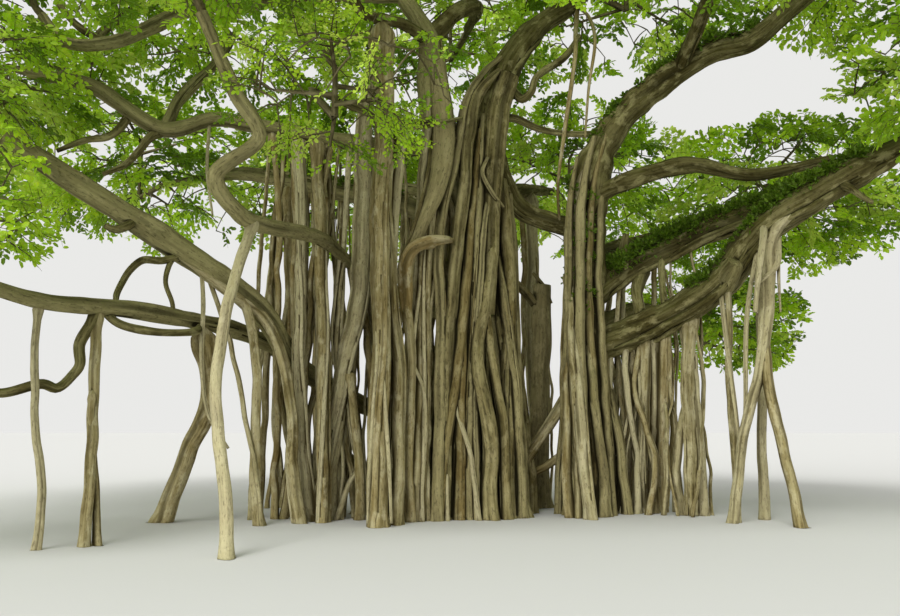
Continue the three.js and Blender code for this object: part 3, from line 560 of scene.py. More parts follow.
# Tall roots are a line, a radius and a tint. Fused limbs have a radius at each step instead.
TALL_ROOTS = [
    ([(-1.14, -1.25, -0.3), (-1.1, -1.2, 2.5), (-1.07, -1.15, 5.07), (-1.01, -1.15, 8.24),
      (-0.72, -1.1, 9.38), (-0.5, -1.0, 10.54), (-0.3, -0.8, 11.6), (0.2, -0.4, 12.6),
      (0.7, 0.0, 13.2)], 0.14, 0.4),
    ([(-1.0, -1.0, -0.3), (-0.95, -1.05, 2.5), (-0.85, -1.1, 5.06), (-0.61, -1.1, 7.08),
      (-0.4, -1.05, 8.82), (-0.29, -0.95, 10.72), (-0.05, -0.75, 11.7), (0.45, -0.3, 12.5),
      (0.8, 0.1, 12.9)], 0.17, 0.1),
    ([(-0.3, -0.9, -0.3), (-0.25, -0.85, 4.0), (-0.1, -0.8, 6.56), (0.03, -0.8, 8.9),
      (0.06, -0.7, 10.1), (0.15, -0.4, 11.3)], 0.13, 0.5),
    ([(-0.1, -0.95, -0.3), (-0.1, -0.9, 3.5), (0.01, -0.85, 6.56), (0.13, -0.75, 8.02),
      (0.3, -0.55, 8.9), (0.5, -0.4, 10.16), (0.6, -0.2, 11.6)], 0.09, 0.8),
    ([(-0.55, -1.0, -0.3), (-0.5, -1.0, 4.0), (-0.3, -0.95, 7.0), (-0.1, -0.85, 9.0),
      (0.05, -0.6, 10.8)], 0.12, -0.8),
    ([(0.75, -0.55, -0.3), (0.8, -0.4, 3.0), (0.85, -0.1, 6.0), (0.8, 0.1, 8.6), (0.75, 0.4, 9.6)],
     0.2, -0.2),
    ([(1.05, -0.1, -0.3), (1.05, 0.0, 3.0), (1.0, 0.1, 6.0), (0.95, 0.5, 9.2)], 0.15, 0.3),
]
FUSED_LIMBS = [
    ([(-1.93, -1.45, 5.2), (-1.91, -1.5, 6.83), (-1.62, -1.5, 7.69), (-1.17, -1.35, 8.99),
      (-1.01, -1.2, 10.16), (-1.07, -1.1, 11.4), (-1.25, -1.0, 12.6)],
     [0.12, 0.17, 0.2, 0.28, 0.33, 0.36, 0.3], 0.5),
    ([(0.2, -0.5, 5.5), (0.3, -0.45, 8.4), (0.4, -0.4, 10.0), (0.6, -0.15, 11.6), (0.9, 0.0, 12.6)],
     [0.2, 0.28, 0.3, 0.35, 0.3], 0.0),
    ([(0.25, -0.75, 9.9), (0.1, -0.95, 9.4), (0.35, -0.85, 8.9), (0.7, -0.3, 8.6)],
     [0.05, 0.06, 0.06, 0.05], 0.6),
]
add_tall_roots(trunk, TALL_ROOTS, seed=700, hugging_seed=720, tip=0.5)
for i, (points, radii, tint) in enumerate(FUSED_LIMBS):
    trunk.append(strand(points, radii, 740 + i, spacing=0.09, sides=22, tint=tint))
    trunk.append(hugging(trunk[-1], 750 + i, tint=-0.3))
bark_piece("trunk_wood", trunk, trunk_bark, ["trunk"])

# The second trunk, which stands to the right of the middle one.
SECOND_FOOT = (3.25, 1.15)
SECOND_WAIST = (3.18, 1.03)
SECOND_TOP = (3.15, 1.0)
SECOND_PATH = [(3.25, 1.15, -BURIED), (3.2, 1.05, 2.6), (3.15, 1.0, 5.8), (3.2, 0.95, 8.9)]
SECOND_RADII = [0.98, 0.78, 0.7, 0.68, 0.66, 0.62, 0.42]
SECOND_RING = 17
SECOND_STRANDS = [
    ((3.35, -0.25), [(3.2, -0.05, 3.0)], (3.1, 0.6, 7.6), 0.13),
    ((3.55, -0.1), [(3.35, 0.1, 1.8)], (3.2, 0.5, 3.8), 0.12),
    ((2.3, 0.75), [(2.55, 0.7, 3.2)], (2.9, 0.8, 7.2), 0.15),
    ((4.2, 0.6), [(3.95, 0.65, 2.4)], (3.4, 0.9, 5.2), 0.15),
]
note_limb(SECOND_PATH, SECOND_RADII)
core_radii = [0.8 * radius for radius in SECOND_RADII]
# Painted shade: the core, deep in the bundle, gets a dark shade.
second = [strand(SECOND_PATH, core_radii, 2, spacing=0.14, sides=40, lobes=0.12, shade=0.8)]
random = seeded(17)
add_placed_strands(second, SECOND_STRANDS, [0.3] * 4, random, seed=90, hugging_tint=0.6)
for i in range(SECOND_RING):
    turn = (i + 0.5 * random()) / SECOND_RING * 2 * math.pi
    out = 0.68 + 0.28 * random()
    height = 4.4 + 3.8 * random()
    lean = 0.8 * (random() - 0.5)
    plan = dict(
        foot=around(SECOND_FOOT, out, turn),
        by=[(*around(SECOND_WAIST, 0.64, turn + lean), height * 0.5)],
        top=(*around(SECOND_TOP, 0.45, turn + lean), height),
        radius=0.06 + 0.09 * random(),
        random=random,
    )
    add_seeded_strand(second, plan, 110 + i, 170 + i, shade=0.0)
SECOND_TALL_ROOTS = [
    ([(2.75, -0.35, -0.3), (2.5, -0.1, 3.0), (2.55, 0.0, 6.0), (2.65, 0.1, 8.6), (2.9, 0.1, 10.2)],
     0.12, 0.2),
    ([(3.0, -0.3, -0.3), (2.85, -0.1, 4.0), (2.9, 0.0, 7.0), (3.05, 0.05, 9.4), (3.4, 0.05, 10.8)],
     0.15, 0.5),
    ([(3.3, 0.0, -0.3), (3.2, 0.15, 4.0), (3.2, 0.2, 7.0), (3.35, 0.15, 9.3), (3.75, 0.0, 10.9)],
     0.13, -0.5),
    ([(3.7, 0.2, -0.3), (3.55, 0.35, 4.0), (3.5, 0.35, 7.0), (3.6, 0.4, 9.2), (3.95, 0.3, 10.8)],
     0.12, 0.3),
    ([(2.45, 0.3, -0.3), (2.45, 0.4, 4.0), (2.6, 0.5, 7.0), (2.75, 0.5, 9.0)], 0.11, -0.2),
]
add_tall_roots(second, SECOND_TALL_ROOTS, seed=760, hugging_seed=770, tip=0.4)
bark_piece("trunk_right_wood", second, trunk_bark, ["trunk_right"])

# The broken stem between the two, with a side limb that joins it to the middle trunk and a stub.
random = seeded(23)
points, radii = root_plan((1.9, 2.6), [], (2.05, 2.4, 6.8), 0.3, random)
side_points = [(2.0, 2.45, 6.0), (1.4, 1.9, 6.6), (0.4, 0.8, 7.1)]
side_radii = [0.14, 0.13, 0.11]
stub_points = [(2.3, 2.35, 6.2), (2.12, 2.3, 6.72), (1.77, 2.2, 7.15)]
note_limb(points, radii)
note_limb(side_points, side_radii)
stump = [
    root_strand(points, 0.3, 130, sides=26, lobes=0.14, tint=0.35),
    strand(side_points, side_radii, 131, spacing=0.08, sides=14),
    strand(stub_points, [0.09, 0.07, 0.05], 132, spacing=0.06, sides=10),
]
bark_piece("trunk_stump_wood", stump, trunk_bark, ["trunk_stump"])


# Boughs
# Each bough is one limb of olive grey bark that tapers, bends and swells where others leave it.
# Thinner roots have grown fast along the thick ones, and moss covers their upper sides.

bough_bark = bark_material(
    "bough_bark", dark=(0.02, 0.017, 0.005), base=(0.125, 0.103, 0.034), pale=(0.42, 0.38, 0.18),
    ochre=(0.055, 0.045, 0.012), moss=(0.062, 0.078, 0.006), moss_share=0.5,
)

# A bough's radii at even steps from its thick end, and the places that it goes through.
BOUGHS = {
    "bough_top_left": (
        [0.55, 0.52, 0.46, 0.36, 0.26, 0.18],
        [(-0.1, 0.2, 8.0), (-0.9, -0.5, 10.2), (-1.3, -0.8, 11.6), (-1.4, -0.8, 13.4),
         (-2.1, -0.8, 14.6), (-2.7, -1.0, 15.6)],
    ),
    "bough_upper_right": (
        [0.5, 0.47, 0.44, 0.36, 0.2],
        [(0.1, 0.1, 8.4), (0.35, 0.0, 11.0), (0.85, 0.4, 12.9), (1.9, 0.8, 14.5), (3.2, 1.4, 15.6)],
    ),
    "bough_link": (
        [0.3, 0.28, 0.27, 0.32],
        [(0.35, 0.1, 10.7), (0.85, 0.75, 9.5), (1.3, 1.0, 8.85), (2.2, 1.1, 8.5), (3.2, 1.0, 8.2)],
    ),
    "bough_right_high": (
        [0.58, 0.56, 0.5, 0.42, 0.36, 0.32, 0.28, 0.22],
        [(3.2, 0.95, 7.9), (3.5, 0.6, 10.2), (4.2, 0.2, 11.4), (5.0, -0.2, 12.1), (6.6, -0.8, 13.0),
         (7.6, -1.0, 13.2), (8.6, -1.6, 13.9), (9.5, -2.0, 14.6)],
    ),
    "bough_right_low": (
        [0.55, 0.46, 0.44, 0.42, 0.44, 0.4, 0.27],
        [(3.3, 1.1, 4.7), (4.7, 0.6, 5.2), (6.1, -0.35, 5.95), (6.75, -0.8, 6.5), (7.2, -1.2, 7.2),
         (7.8, -1.6, 7.9), (9.4, -2.2, 8.8), (11.3, -2.8, 9.8)],
    ),
    "bough_right_mid": (
        [0.4, 0.35, 0.33, 0.31, 0.3],
        [(3.3, 1.2, 6.2), (4.4, 1.2, 7.0), (6.2, 0.6, 7.85), (7.9, -0.7, 8.3), (8.8, -1.95, 8.5)],
    ),
    "bough_right_stub": (
        [0.27, 0.25, 0.22, 0.18, 0.1],
        [(3.35, 0.7, 9.2), (4.4, 0.1, 9.5), (6.0, -0.4, 9.8), (7.6, -0.8, 9.4), (8.6, -1.0, 9.5),
         (9.8, -1.2, 9.75)],
    ),
    "bough_front_right": (
        [0.22, 0.19, 0.15],
        [(5.8, -0.5, 12.6), (6.0, -2.2, 13.5), (5.9, -4.2, 14.1), (5.6, -5.6, 14.2)],
    ),
    "bough_right_back": (
        [0.34, 0.28, 0.22, 0.16],
        [(3.3, 1.2, 7.3), (4.6, 2.6, 8.0), (6.5, 3.7, 8.7), (8.0, 4.3, 9.2)],
    ),
    "bough_right_back_low": (
        [0.26, 0.22, 0.18, 0.13],
        [(3.4, 1.4, 5.4), (4.9, 3.2, 6.1), (6.4, 5.2, 6.3), (7.4, 6.5, 6.1)],
    ),
    "bough_back_right": (
        [0.34, 0.28, 0.22, 0.16],
        [(0.3, 0.7, 8.4), (0.9, 2.8, 9.7), (2.0, 5.2, 10.6), (2.9, 7.2, 11.1)],
    ),
    "bough_back_left": (
        [0.34, 0.28, 0.22, 0.16],
        [(-0.2, 0.6, 8.2), (-0.9, 2.6, 9.6), (-2.4, 5.0, 10.6), (-3.8, 7.0, 11.0)],
    ),
    "bough_left_back": (
        [0.32, 0.29, 0.27, 0.25, 0.2, 0.14],
        [(-0.1, 0.5, 8.0), (-2.3, 0.9, 9.0), (-4.1, 1.8, 9.6), (-6.0, 2.9, 10.3), (-7.8, 3.8, 10.8),
         (-10.2, 5.2, 10.9)],
    ),
    "bough_left_high": (
        [0.26, 0.24, 0.22, 0.21, 0.2, 0.21, 0.18, 0.13],
        [(-0.9, -0.5, 10.3), (-2.3, 0.1, 10.45), (-4.2, -0.4, 10.55), (-6.2, -1.0, 10.75),
         (-7.3, -1.4, 10.8), (-8.5, -1.8, 10.35), (-10.3, -2.2, 11.4), (-12.2, -1.9, 11.9)],
    ),
    "bough_left_riser": (
        [0.17, 0.16, 0.14, 0.11],
        [(-8.5, -1.8, 10.35), (-8.25, -1.2, 11.5), (-7.6, -0.5, 12.7), (-7.3, 0.2, 13.8)],
    ),
    "bough_left_top": (
        [0.21, 0.2, 0.19, 0.19, 0.18, 0.16, 0.12],
        [(-2.15, -0.8, 14.7), (-5.0, -1.4, 14.4), (-6.6, -2.0, 13.75), (-7.4, -2.4, 13.6),
         (-9.4, -3.2, 12.2), (-10.6, -3.4, 12.1), (-11.3, -3.2, 12.9)],
    ),
    "bough_top_back": (
        [0.28, 0.24, 0.19, 0.14],
        [(-1.4, -0.8, 13.4), (-0.6, -0.4, 14.4), (0.0, 0.7, 15.1), (-0.2, 3.2, 15.6)],
    ),
    "bough_top_front": (
        [0.17, 0.15, 0.13, 0.1],
        [(-1.4, -0.8, 13.3), (-2.1, -1.8, 13.35), (-3.1, -2.7, 13.2), (-3.3, -4.2, 13.5),
         (-2.6, -5.9, 14.1)],
    ),
    "bough_front": (
        [0.12, 0.11, 0.1, 0.08],
        [(-1.2, -0.8, 11.0), (-1.8, -1.9, 10.5), (-2.6, -2.8, 10.35), (-3.6, -4.5, 10.2)],
    ),
    "bough_front_left": (
        [0.18, 0.17, 0.17, 0.18, 0.19, 0.19, 0.17, 0.15, 0.12],
        [(-0.6, 0.2, 5.3), (-1.9, 0.0, 6.0), (-3.4, 0.1, 6.8), (-3.85, -0.7, 7.15),
         (-4.2, -1.9, 7.35), (-5.5, -5.4, 7.15), (-5.85, -6.2, 7.8), (-4.9, -6.4, 8.6),
         (-5.3, -6.9, 9.4), (-6.0, -7.2, 11.0)],
    ),
    "bough_left_long": (
        [0.24, 0.2, 0.2, 0.23, 0.29, 0.31, 0.29, 0.22],
        [(-0.3, 0.7, 2.0), (-2.2, 0.9, 2.6), (-3.8, 0.6, 3.2), (-5.1, -0.4, 4.2), (-5.8, -1.6, 5.5),
         (-7.4, -3.0, 6.7), (-10.2, -4.2, 8.5), (-12.0, -4.9, 9.6)],
    ),
    "bough_left_low": (
        [0.21, 0.2, 0.2, 0.21, 0.21, 0.2, 0.18, 0.13],
        [(-0.4, 1.3, 2.0), (-2.3, 1.6, 2.6), (-4.1, 1.0, 3.5), (-5.3, 0.4, 4.3), (-6.3, -0.8, 4.9),
         (-8.0, -4.2, 5.1), (-9.3, -6.6, 5.0), (-10.3, -7.9, 5.3)],
    ),
}
# Short limbs, knobs and posts on a bough, given in the same way.
SIDE_LIMBS = {
    "bough_upper_right": [
        ([0.16, 0.13, 0.12, 0.12, 0.12, 0.11, 0.08],
         [(0.8, 0.35, 12.8), (0.97, 0.2, 12.39), (1.31, 0.1, 11.95), (1.57, 0.0, 12.13), (1.72, 0.0, 12.56),
          (2.62, 0.3, 13.34), (3.1, 0.5, 14.1)]),
        ([0.13, 0.1, 0.09, 0.1],
         [(0.5, 0.05, 11.3), (1.05, 0.2, 11.4), (1.82, 0.3, 11.11), (2.6, 0.4, 11.0), (3.6, 0.45, 11.0)]),
    ],
    "bough_right_low": [
        ([0.14, 0.12, 0.09, 0.06],
         [(9.3, -2.2, 8.75), (9.42, -2.7, 8.5), (9.55, -3.1, 8.15), (9.64, -3.4, 7.93)]),
        ([0.34, 0.33, 0.3, 0.22],
         [(6.7, -0.8, 6.3), (6.75, -1.2, 6.55), (6.8, -1.45, 6.72), (6.82, -1.55, 6.8)]),
        ([0.26, 0.19, 0.17, 0.2, 0.26],
         [(4.7, 0.72, 5.2), (4.72, 0.75, 5.8), (4.68, 0.85, 6.3), (4.8, 1.05, 6.7), (4.95, 1.2, 7.05)]),
        ([0.12, 0.1, 0.1, 0.12],
         [(5.35, 0.2, 5.6), (5.32, 0.3, 6.2), (5.36, 0.6, 6.8), (5.45, 0.9, 7.4)]),
    ],
    "bough_right_mid": [
        ([0.22, 0.18, 0.15, 0.09],
         [(4.35, 1.1, 7.0), (4.35, 1.0, 7.5), (4.38, 0.95, 7.85), (4.42, 0.9, 8.1)]),
    ],
    "bough_left_high": [
        ([0.13, 0.12, 0.1, 0.09, 0.06],
         [(-8.5, -1.8, 10.35), (-8.85, -1.9, 10.1), (-9.1, -1.9, 9.75), (-9.45, -2.0, 9.31),
          (-9.92, -2.2, 9.0)]),
        ([0.13, 0.12, 0.1, 0.09, 0.06],
         [(-9.36, -2.0, 10.8), (-9.6, -2.0, 10.35), (-9.9, -2.1, 10.05), (-10.42, -2.2, 9.93),
          (-11.12, -2.3, 9.6)]),
    ],
    "bough_left_top": [
        ([0.11, 0.1, 0.09, 0.08, 0.06],
         [(-9.6, -3.2, 12.2), (-9.95, -3.2, 12.35), (-10.4, -3.3, 12.65), (-10.75, -3.6, 13.13),
          (-10.8, -3.6, 13.6)]),
        ([0.13, 0.12, 0.1, 0.09, 0.07],
         [(-9.9, -3.25, 12.15), (-9.82, -3.0, 12.56), (-9.44, -2.9, 12.94), (-9.0, -2.8, 13.49),
          (-8.82, -2.8, 14.1)]),
    ],
    "bough_front": [
        ([0.05, 0.06, 0.06, 0.06, 0.05],
         [(-3.44, -2.3, 10.77), (-2.5, -2.5, 10.41), (-1.77, -2.4, 10.19), (-1.07, -1.8, 10.57),
          (-0.47, -1.2, 10.9)]),
    ],
    "bough_left_long": [
        ([0.12, 0.1, 0.1, 0.09, 0.08, 0.07, 0.07],
         [(-7.4, -3.0, 6.7), (-7.85, -3.45, 6.45), (-8.3, -3.5, 6.45), (-8.6, -3.5, 6.2), (-8.75, -3.55, 5.9),
          (-8.75, -3.9, 5.5), (-8.3, -4.75, 5.05)]),
        ([0.09, 0.07, 0.06, 0.06, 0.06],
         [(-7.6, -3.1, 6.75), (-7.7, -3.4, 6.3), (-7.7, -3.55, 5.87), (-7.55, -3.45, 5.4),
          (-7.55, -3.3, 5.05)]),
        ([0.13, 0.12, 0.1, 0.07],
         [(-8.5, -3.6, 7.4), (-8.6, -4.0, 7.15), (-8.75, -4.25, 7.05), (-8.9, -4.4, 7.1)]),
    ],
    "bough_left_low": [
        ([0.14, 0.12, 0.11, 0.1, 0.1, 0.1, 0.09, 0.08],
         [(-8.6, -5.4, 5.0), (-8.63, -5.5, 4.69), (-8.87, -5.5, 4.2), (-8.8, -5.6, 3.74), (-8.93, -5.6, 3.54),
          (-9.13, -5.9, 3.23), (-9.35, -6.1, 3.31), (-10.02, -6.5, 3.1), (-10.6, -6.9, 3.25)]),
        ([0.1, 0.09, 0.09, 0.1, 0.1],
         [(-8.55, -5.2, 5.0), (-8.25, -5.0, 4.72), (-7.65, -4.4, 4.6), (-7.0, -3.6, 4.68),
          (-7.1, -2.5, 4.95)]),
    ],
}
# Where a bough starts deep inside its trunk: the places before its first.
DEEP_STARTS = {
    "bough_top_left": [(0.0, 0.35, 5.8), (-0.05, 0.3, 7.0)],
    "bough_upper_right": [(0.1, 0.35, 6.2), (0.1, 0.2, 7.4)],
    "bough_right_high": [(3.2, 1.05, 5.4), (3.2, 1.0, 6.8)],
}
THICK_BOUGH = 0.3
PALE_TINT = 0.45
DARK_TINT = -0.75

for i, (name, (radii, path)) in enumerate(BOUGHS.items()):
    note_limb(path, radii)
    if name in DEEP_STARTS:
        path = DEEP_STARTS[name] + path
        radii = [0.7 * radii[0], 0.95 * radii[0]] + radii
    thick = max(radii) > THICK_BOUGH
    bough = strand(
        path, radii, 200 + i, spacing=0.09, sides=26 if thick else 20, lobes=0.08,
        knobs=0.09 if "right" in name else 0.07, wander=0.03,
        tint=PALE_TINT if "left" in name else DARK_TINT,
    )
    parts = [bough]
    for k in range(4 if thick else 1):
        parts.append(hugging(bough, 300 + 10 * i + k, tint=bough["tint"] + 0.25 - 0.25 * (k % 3)))
    for k, (side_radii, side_path) in enumerate(SIDE_LIMBS.get(name, [])):
        parts.append(strand(side_path, side_radii, 600 + 10 * i + k, spacing=0.07, sides=14, knobs=0.07))
    bark_piece(name + "_wood", parts, bough_bark, [name])


# Prop roots
# Aerial roots that reached the ground and thickened into pillars, paler and smoother than the boughs.
# Some carry thinner roots that have run down their sides and joined them.

root_bark = bark_material(
    "root_bark", dark=(0.06, 0.045, 0.015), base=(0.3, 0.245, 0.105), pale=(0.62, 0.56, 0.35),
    ochre=(0.31, 0.215, 0.075), moss=(0.15, 0.155, 0.03), moss_share=0.4,
)

# A root's foot, the places that it goes by, its top and its radius.
PROP_ROOTS = {
    "root_left_outer": [((-9.0, -6.7), [], (-9.3, -6.6, 5.0), 0.08)],
    "root_left_inner": [
        ((-8.25, -6.2), [], (-8.6, -5.35, 5.05), 0.11),
        ((-8.0, -6.05), [], (-8.45, -5.7, 3.2), 0.08),
    ],
    "root_left_leaning": [
        ((-8.3, -1.5), [(-7.4, -1.9, 1.9), (-6.95, -2.1, 3.0)], (-7.1, -2.4, 5.0), 0.22),
    ],
    "root_front_left": [
        ((-4.9, -7.9), [(-5.45, -7.1, 2.9), (-5.5, -6.3, 4.9)], (-5.3, -4.8, 7.2), 0.12),
    ],
    "root_under_long_bough": [((-5.5, -2.3), [], (-6.0, -1.9, 5.75), 0.13)],
    "roots_left_front": [
        ((-4.55, -1.8), [(-5.1, -1.75, 4.1)], (-5.75, -1.5, 5.4), 0.14),
        ((-4.35, -1.35), [(-4.8, -1.1, 4.2)], (-5.1, -0.65, 10.6), 0.15),
        ((-4.05, -1.6), [(-4.25, -1.15, 4.6)], (-4.6, -0.5, 10.6), 0.16),
    ],
    "root_centre_leaning": [
        ((-4.1, -0.75), [(-3.7, -0.75, 3.9), (-3.3, -0.65, 6.0)], (-3.3, -0.15, 10.5), 0.24),
        ((-3.2, -0.95), [(-3.28, -0.95, 2.2)], (-3.55, -0.8, 4.0), 0.13),
    ],
    "roots_centre_front": [
        ((-2.55, -2.6), [(-2.55, -2.4, 5.0)], (-2.65, -2.25, 13.25), 0.25),
        ((-2.15, -2.15), [(-2.15, -2.0, 4.0)], (-2.5, -2.2, 9.6), 0.16),
        ((-2.4, -1.75), [(-2.42, -1.8, 4.0)], (-2.1, -2.1, 10.45), 0.15),
    ],
    "roots_centre_middle": [
        ((-1.65, -1.3), [(-1.55, -1.25, 5.0)], (-1.3, -0.85, 11.3), 0.17),
        ((-2.0, -1.0), [(-1.95, -1.1, 4.0)], (-1.6, -1.15, 9.6), 0.13),
        ((-1.8, -1.45), [(-1.95, -1.5, 6.2), (-1.75, -1.75, 7.1)], (-1.05, -1.9, 7.3), 0.13),
    ],
    "roots_second_trunk_front": [
        ((2.95, -0.9), [(2.75, -0.5, 2.6)], (2.8, 0.5, 7.9), 0.15),
        ((2.45, -0.4), [(2.45, -0.2, 3.0)], (2.6, 0.2, 6.9), 0.12),
        ((2.65, -0.55), [(2.55, -0.25, 4.6)], (2.75, 0.3, 7.4), 0.1),
    ],
    "roots_right_cluster": [
        ((4.3, 1.75), [], (4.7, 0.8, 5.1), 0.2),
        ((4.62, 1.35), [], (4.85, 0.5, 5.2), 0.17),
        ((5.0, 1.5), [], (5.05, 0.45, 5.3), 0.17),
        ((5.3, 1.2), [], (5.3, 0.25, 5.5), 0.15),
    ],
    "roots_right_pair": [
        ((5.85, 0.3), [], (5.9, -0.15, 5.8), 0.19),
        ((6.2, 0.15), [], (5.95, -0.05, 4.6), 0.12),
    ],
    "roots_right_forked": [
        ((6.35, -1.75), [(6.7, -1.9, 2.2), (7.2, -2.05, 4.1), (7.4, -2.0, 5.0)], (7.75, -1.6, 7.8),
         0.16),
        ((7.75, -2.8), [(7.5, -2.4, 1.8), (7.3, -2.1, 3.8)], (7.35, -2.0, 4.8), 0.14),
        ((6.5, -1.6), [(6.6, -1.3, 3.2)], (6.8, -0.85, 6.4), 0.09),
        ((7.5, -0.9), [(7.5, -1.3, 4.2)], (7.5, -1.45, 7.5), 0.12),
    ],
    "root_back_left": [((-5.6, 3.2), [], (-5.9, 2.85, 10.25), 0.2)],
    "roots_back": [
        ((-2.0, 4.9), [], (-2.2, 4.7, 10.5), 0.2),
        ((-1.6, 5.0), [], (-2.0, 4.8, 7.0), 0.14),
    ],
    "root_back_right": [((2.1, 5.6), [], (2.0, 5.2, 10.6), 0.2)],
}
# Roots that don't end at their top but run on and fuse with the limb above.
RUN_ON = {
    ("root_under_long_bough", 0):
        [(-6.1, -2.1, 5.55), (-6.5, -2.45, 5.85), (-7.1, -2.95, 6.3), (-7.6, -3.3, 6.65)],
    ("roots_left_front", 0):
        [(-5.75, -1.75, 5.35), (-6.15, -2.1, 5.6), (-6.7, -2.6, 5.95), (-7.2, -3.0, 6.35)],
    ("roots_second_trunk_front", 0):
        [(2.8, 0.4, 7.7), (2.85, 0.35, 8.6), (3.0, 0.3, 9.6), (3.3, 0.25, 10.4)],
    ("roots_right_forked", 0):
        [(7.72, -1.75, 7.3), (8.0, -1.95, 7.8), (8.5, -2.1, 8.15), (9.0, -2.2, 8.45)],
    ("roots_right_forked", 1):
        [(7.35, -2.0, 4.6), (7.42, -1.95, 5.2), (7.5, -1.9, 5.8), (7.55, -1.8, 6.3)],
    ("root_centre_leaning", 0):
        [(-3.3, -0.3, 10.3), (-3.15, -0.9, 11.6), (-2.9, -1.7, 12.7), (-2.75, -2.2, 13.2)],
    ("roots_centre_middle", 1):
        [(-1.55, -1.2, 9.3), (-1.45, -1.2, 10.6), (-1.4, -1.1, 12.0), (-1.45, -0.95, 13.0)],
}
FORKED_ROOT = ("roots_right_forked", 0)
FORKED_SHARES = (0.85, 0.74, 0.78, 1.1, 1.25)
THICK_ROOT = 0.14

for i, (name, roots) in enumerate(PROP_ROOTS.items()):
    random = seeded(100 + i)
    strands = []
    for k, (foot, by, top, radius) in enumerate(roots):
        points, radii = root_plan(foot, by, top, radius, random)
        note_limb(points, radii)
        seed = 1000 + 10 * i + k
        tint = 0.9 * math.sin(2.1 * seed)
        if (name, k) in RUN_ON:
            points = points[:-1] + RUN_ON[name, k]
            shares = FORKED_SHARES if (name, k) == FORKED_ROOT else EVEN_SHARES
            strands.append(root_strand(points, radius, seed, tip=0.3, shares=shares, tint=0.4 * tint))
        else:
            strands.append(root_strand(points, radius, seed, joint=0.45, tint=0.6 * tint))
        if radius >= THICK_ROOT and name != FORKED_ROOT[0]:
            strands.append(hugging(strands[-1], seed + 300, tint=0.5 - 0.5 * tint, size=(0.3, 0.5)))
            strands.append(hugging(strands[-2], seed + 600, tint=0.8 * tint))
    bark_piece(name + "_wood", strands, root_bark, [name])


# Thin roots
# Between the pillars stand many thinner roots, and others still hang short of the ground.
# They drop from the boughs above by a seeded rule, but for those whose places the photograph shows.

# The bough, the shares of its length between which roots drop from it, and how many.
THIN_ROOTS = [
    ("bough_left_high", 0.1, 0.44, 20),
    ("bough_left_back", 0.08, 0.62, 22),
    ("bough_back_left", 0.1, 0.8, 9),
    ("bough_back_right", 0.45, 0.8, 4),
    ("bough_front_left", 0.06, 0.3, 10),
    ("bough_left_long", 0.06, 0.4, 12),
    ("bough_top_left", 0.2, 0.5, 6),
    ("bough_right_high", 0.03, 0.22, 3),
    ("bough_right_low", 0.06, 0.31, 13),
    ("bough_right_mid", 0.15, 0.5, 5),
    ("bough_right_back", 0.15, 0.7, 5),
    ("bough_right_back_low", 0.15, 0.7, 4),
]
# Thin roots on the ground: a line, a radius and a tint. Hanging ones are a line and a radius.
PLACED_ROOTS = [
    ([(-4.35, -0.95, -0.3), (-3.96, -0.9, 1.29), (-3.74, -0.9, 2.34), (-3.6, -0.75, 3.3)], 0.08, 0.3),
    ([(-3.9, -1.05, -0.3), (-3.44, -1.0, 1.03), (-3.26, -1.0, 1.29), (-3.41, -0.9, 2.07), (-3.6, -0.75, 3.1)],
     0.07, 0.4),
    ([(0.0, -1.1, -0.3), (-0.3, -1.15, 1.8), (-0.6, -1.05, 2.9), (-0.55, -0.9, 3.6)], 0.07, 0.5),
    ([(0.75, 1.0, -0.3), (0.97, 0.95, 0.8), (1.46, 0.8, 1.63), (2.12, 0.75, 2.62), (2.75, 0.9, 3.6)],
     0.16, -0.2),
    ([(0.85, 1.35, -0.3), (1.37, 1.25, 0.96), (1.94, 1.15, 1.3), (2.7, 1.1, 1.8)], 0.13, -0.4),
    ([(-5.4, -2.4, -0.3), (-5.7, -2.45, 1.6), (-6.0, -2.5, 3.08), (-6.42, -2.5, 4.68), (-6.96, -2.5, 6.2)],
     0.065, 0.1),
]
BENT_ARM = [(-1.93, -1.45, 4.9), (-1.97, -1.5, 5.9), (-1.98, -1.68, 6.7), (-1.78, -1.85, 7.08),
            (-1.4, -1.95, 7.25), (-1.0, -1.8, 7.33), (-0.7, -1.1, 7.45)]
BENT_ARM_RADII = [0.08, 0.15, 0.2, 0.19, 0.16, 0.12, 0.05]
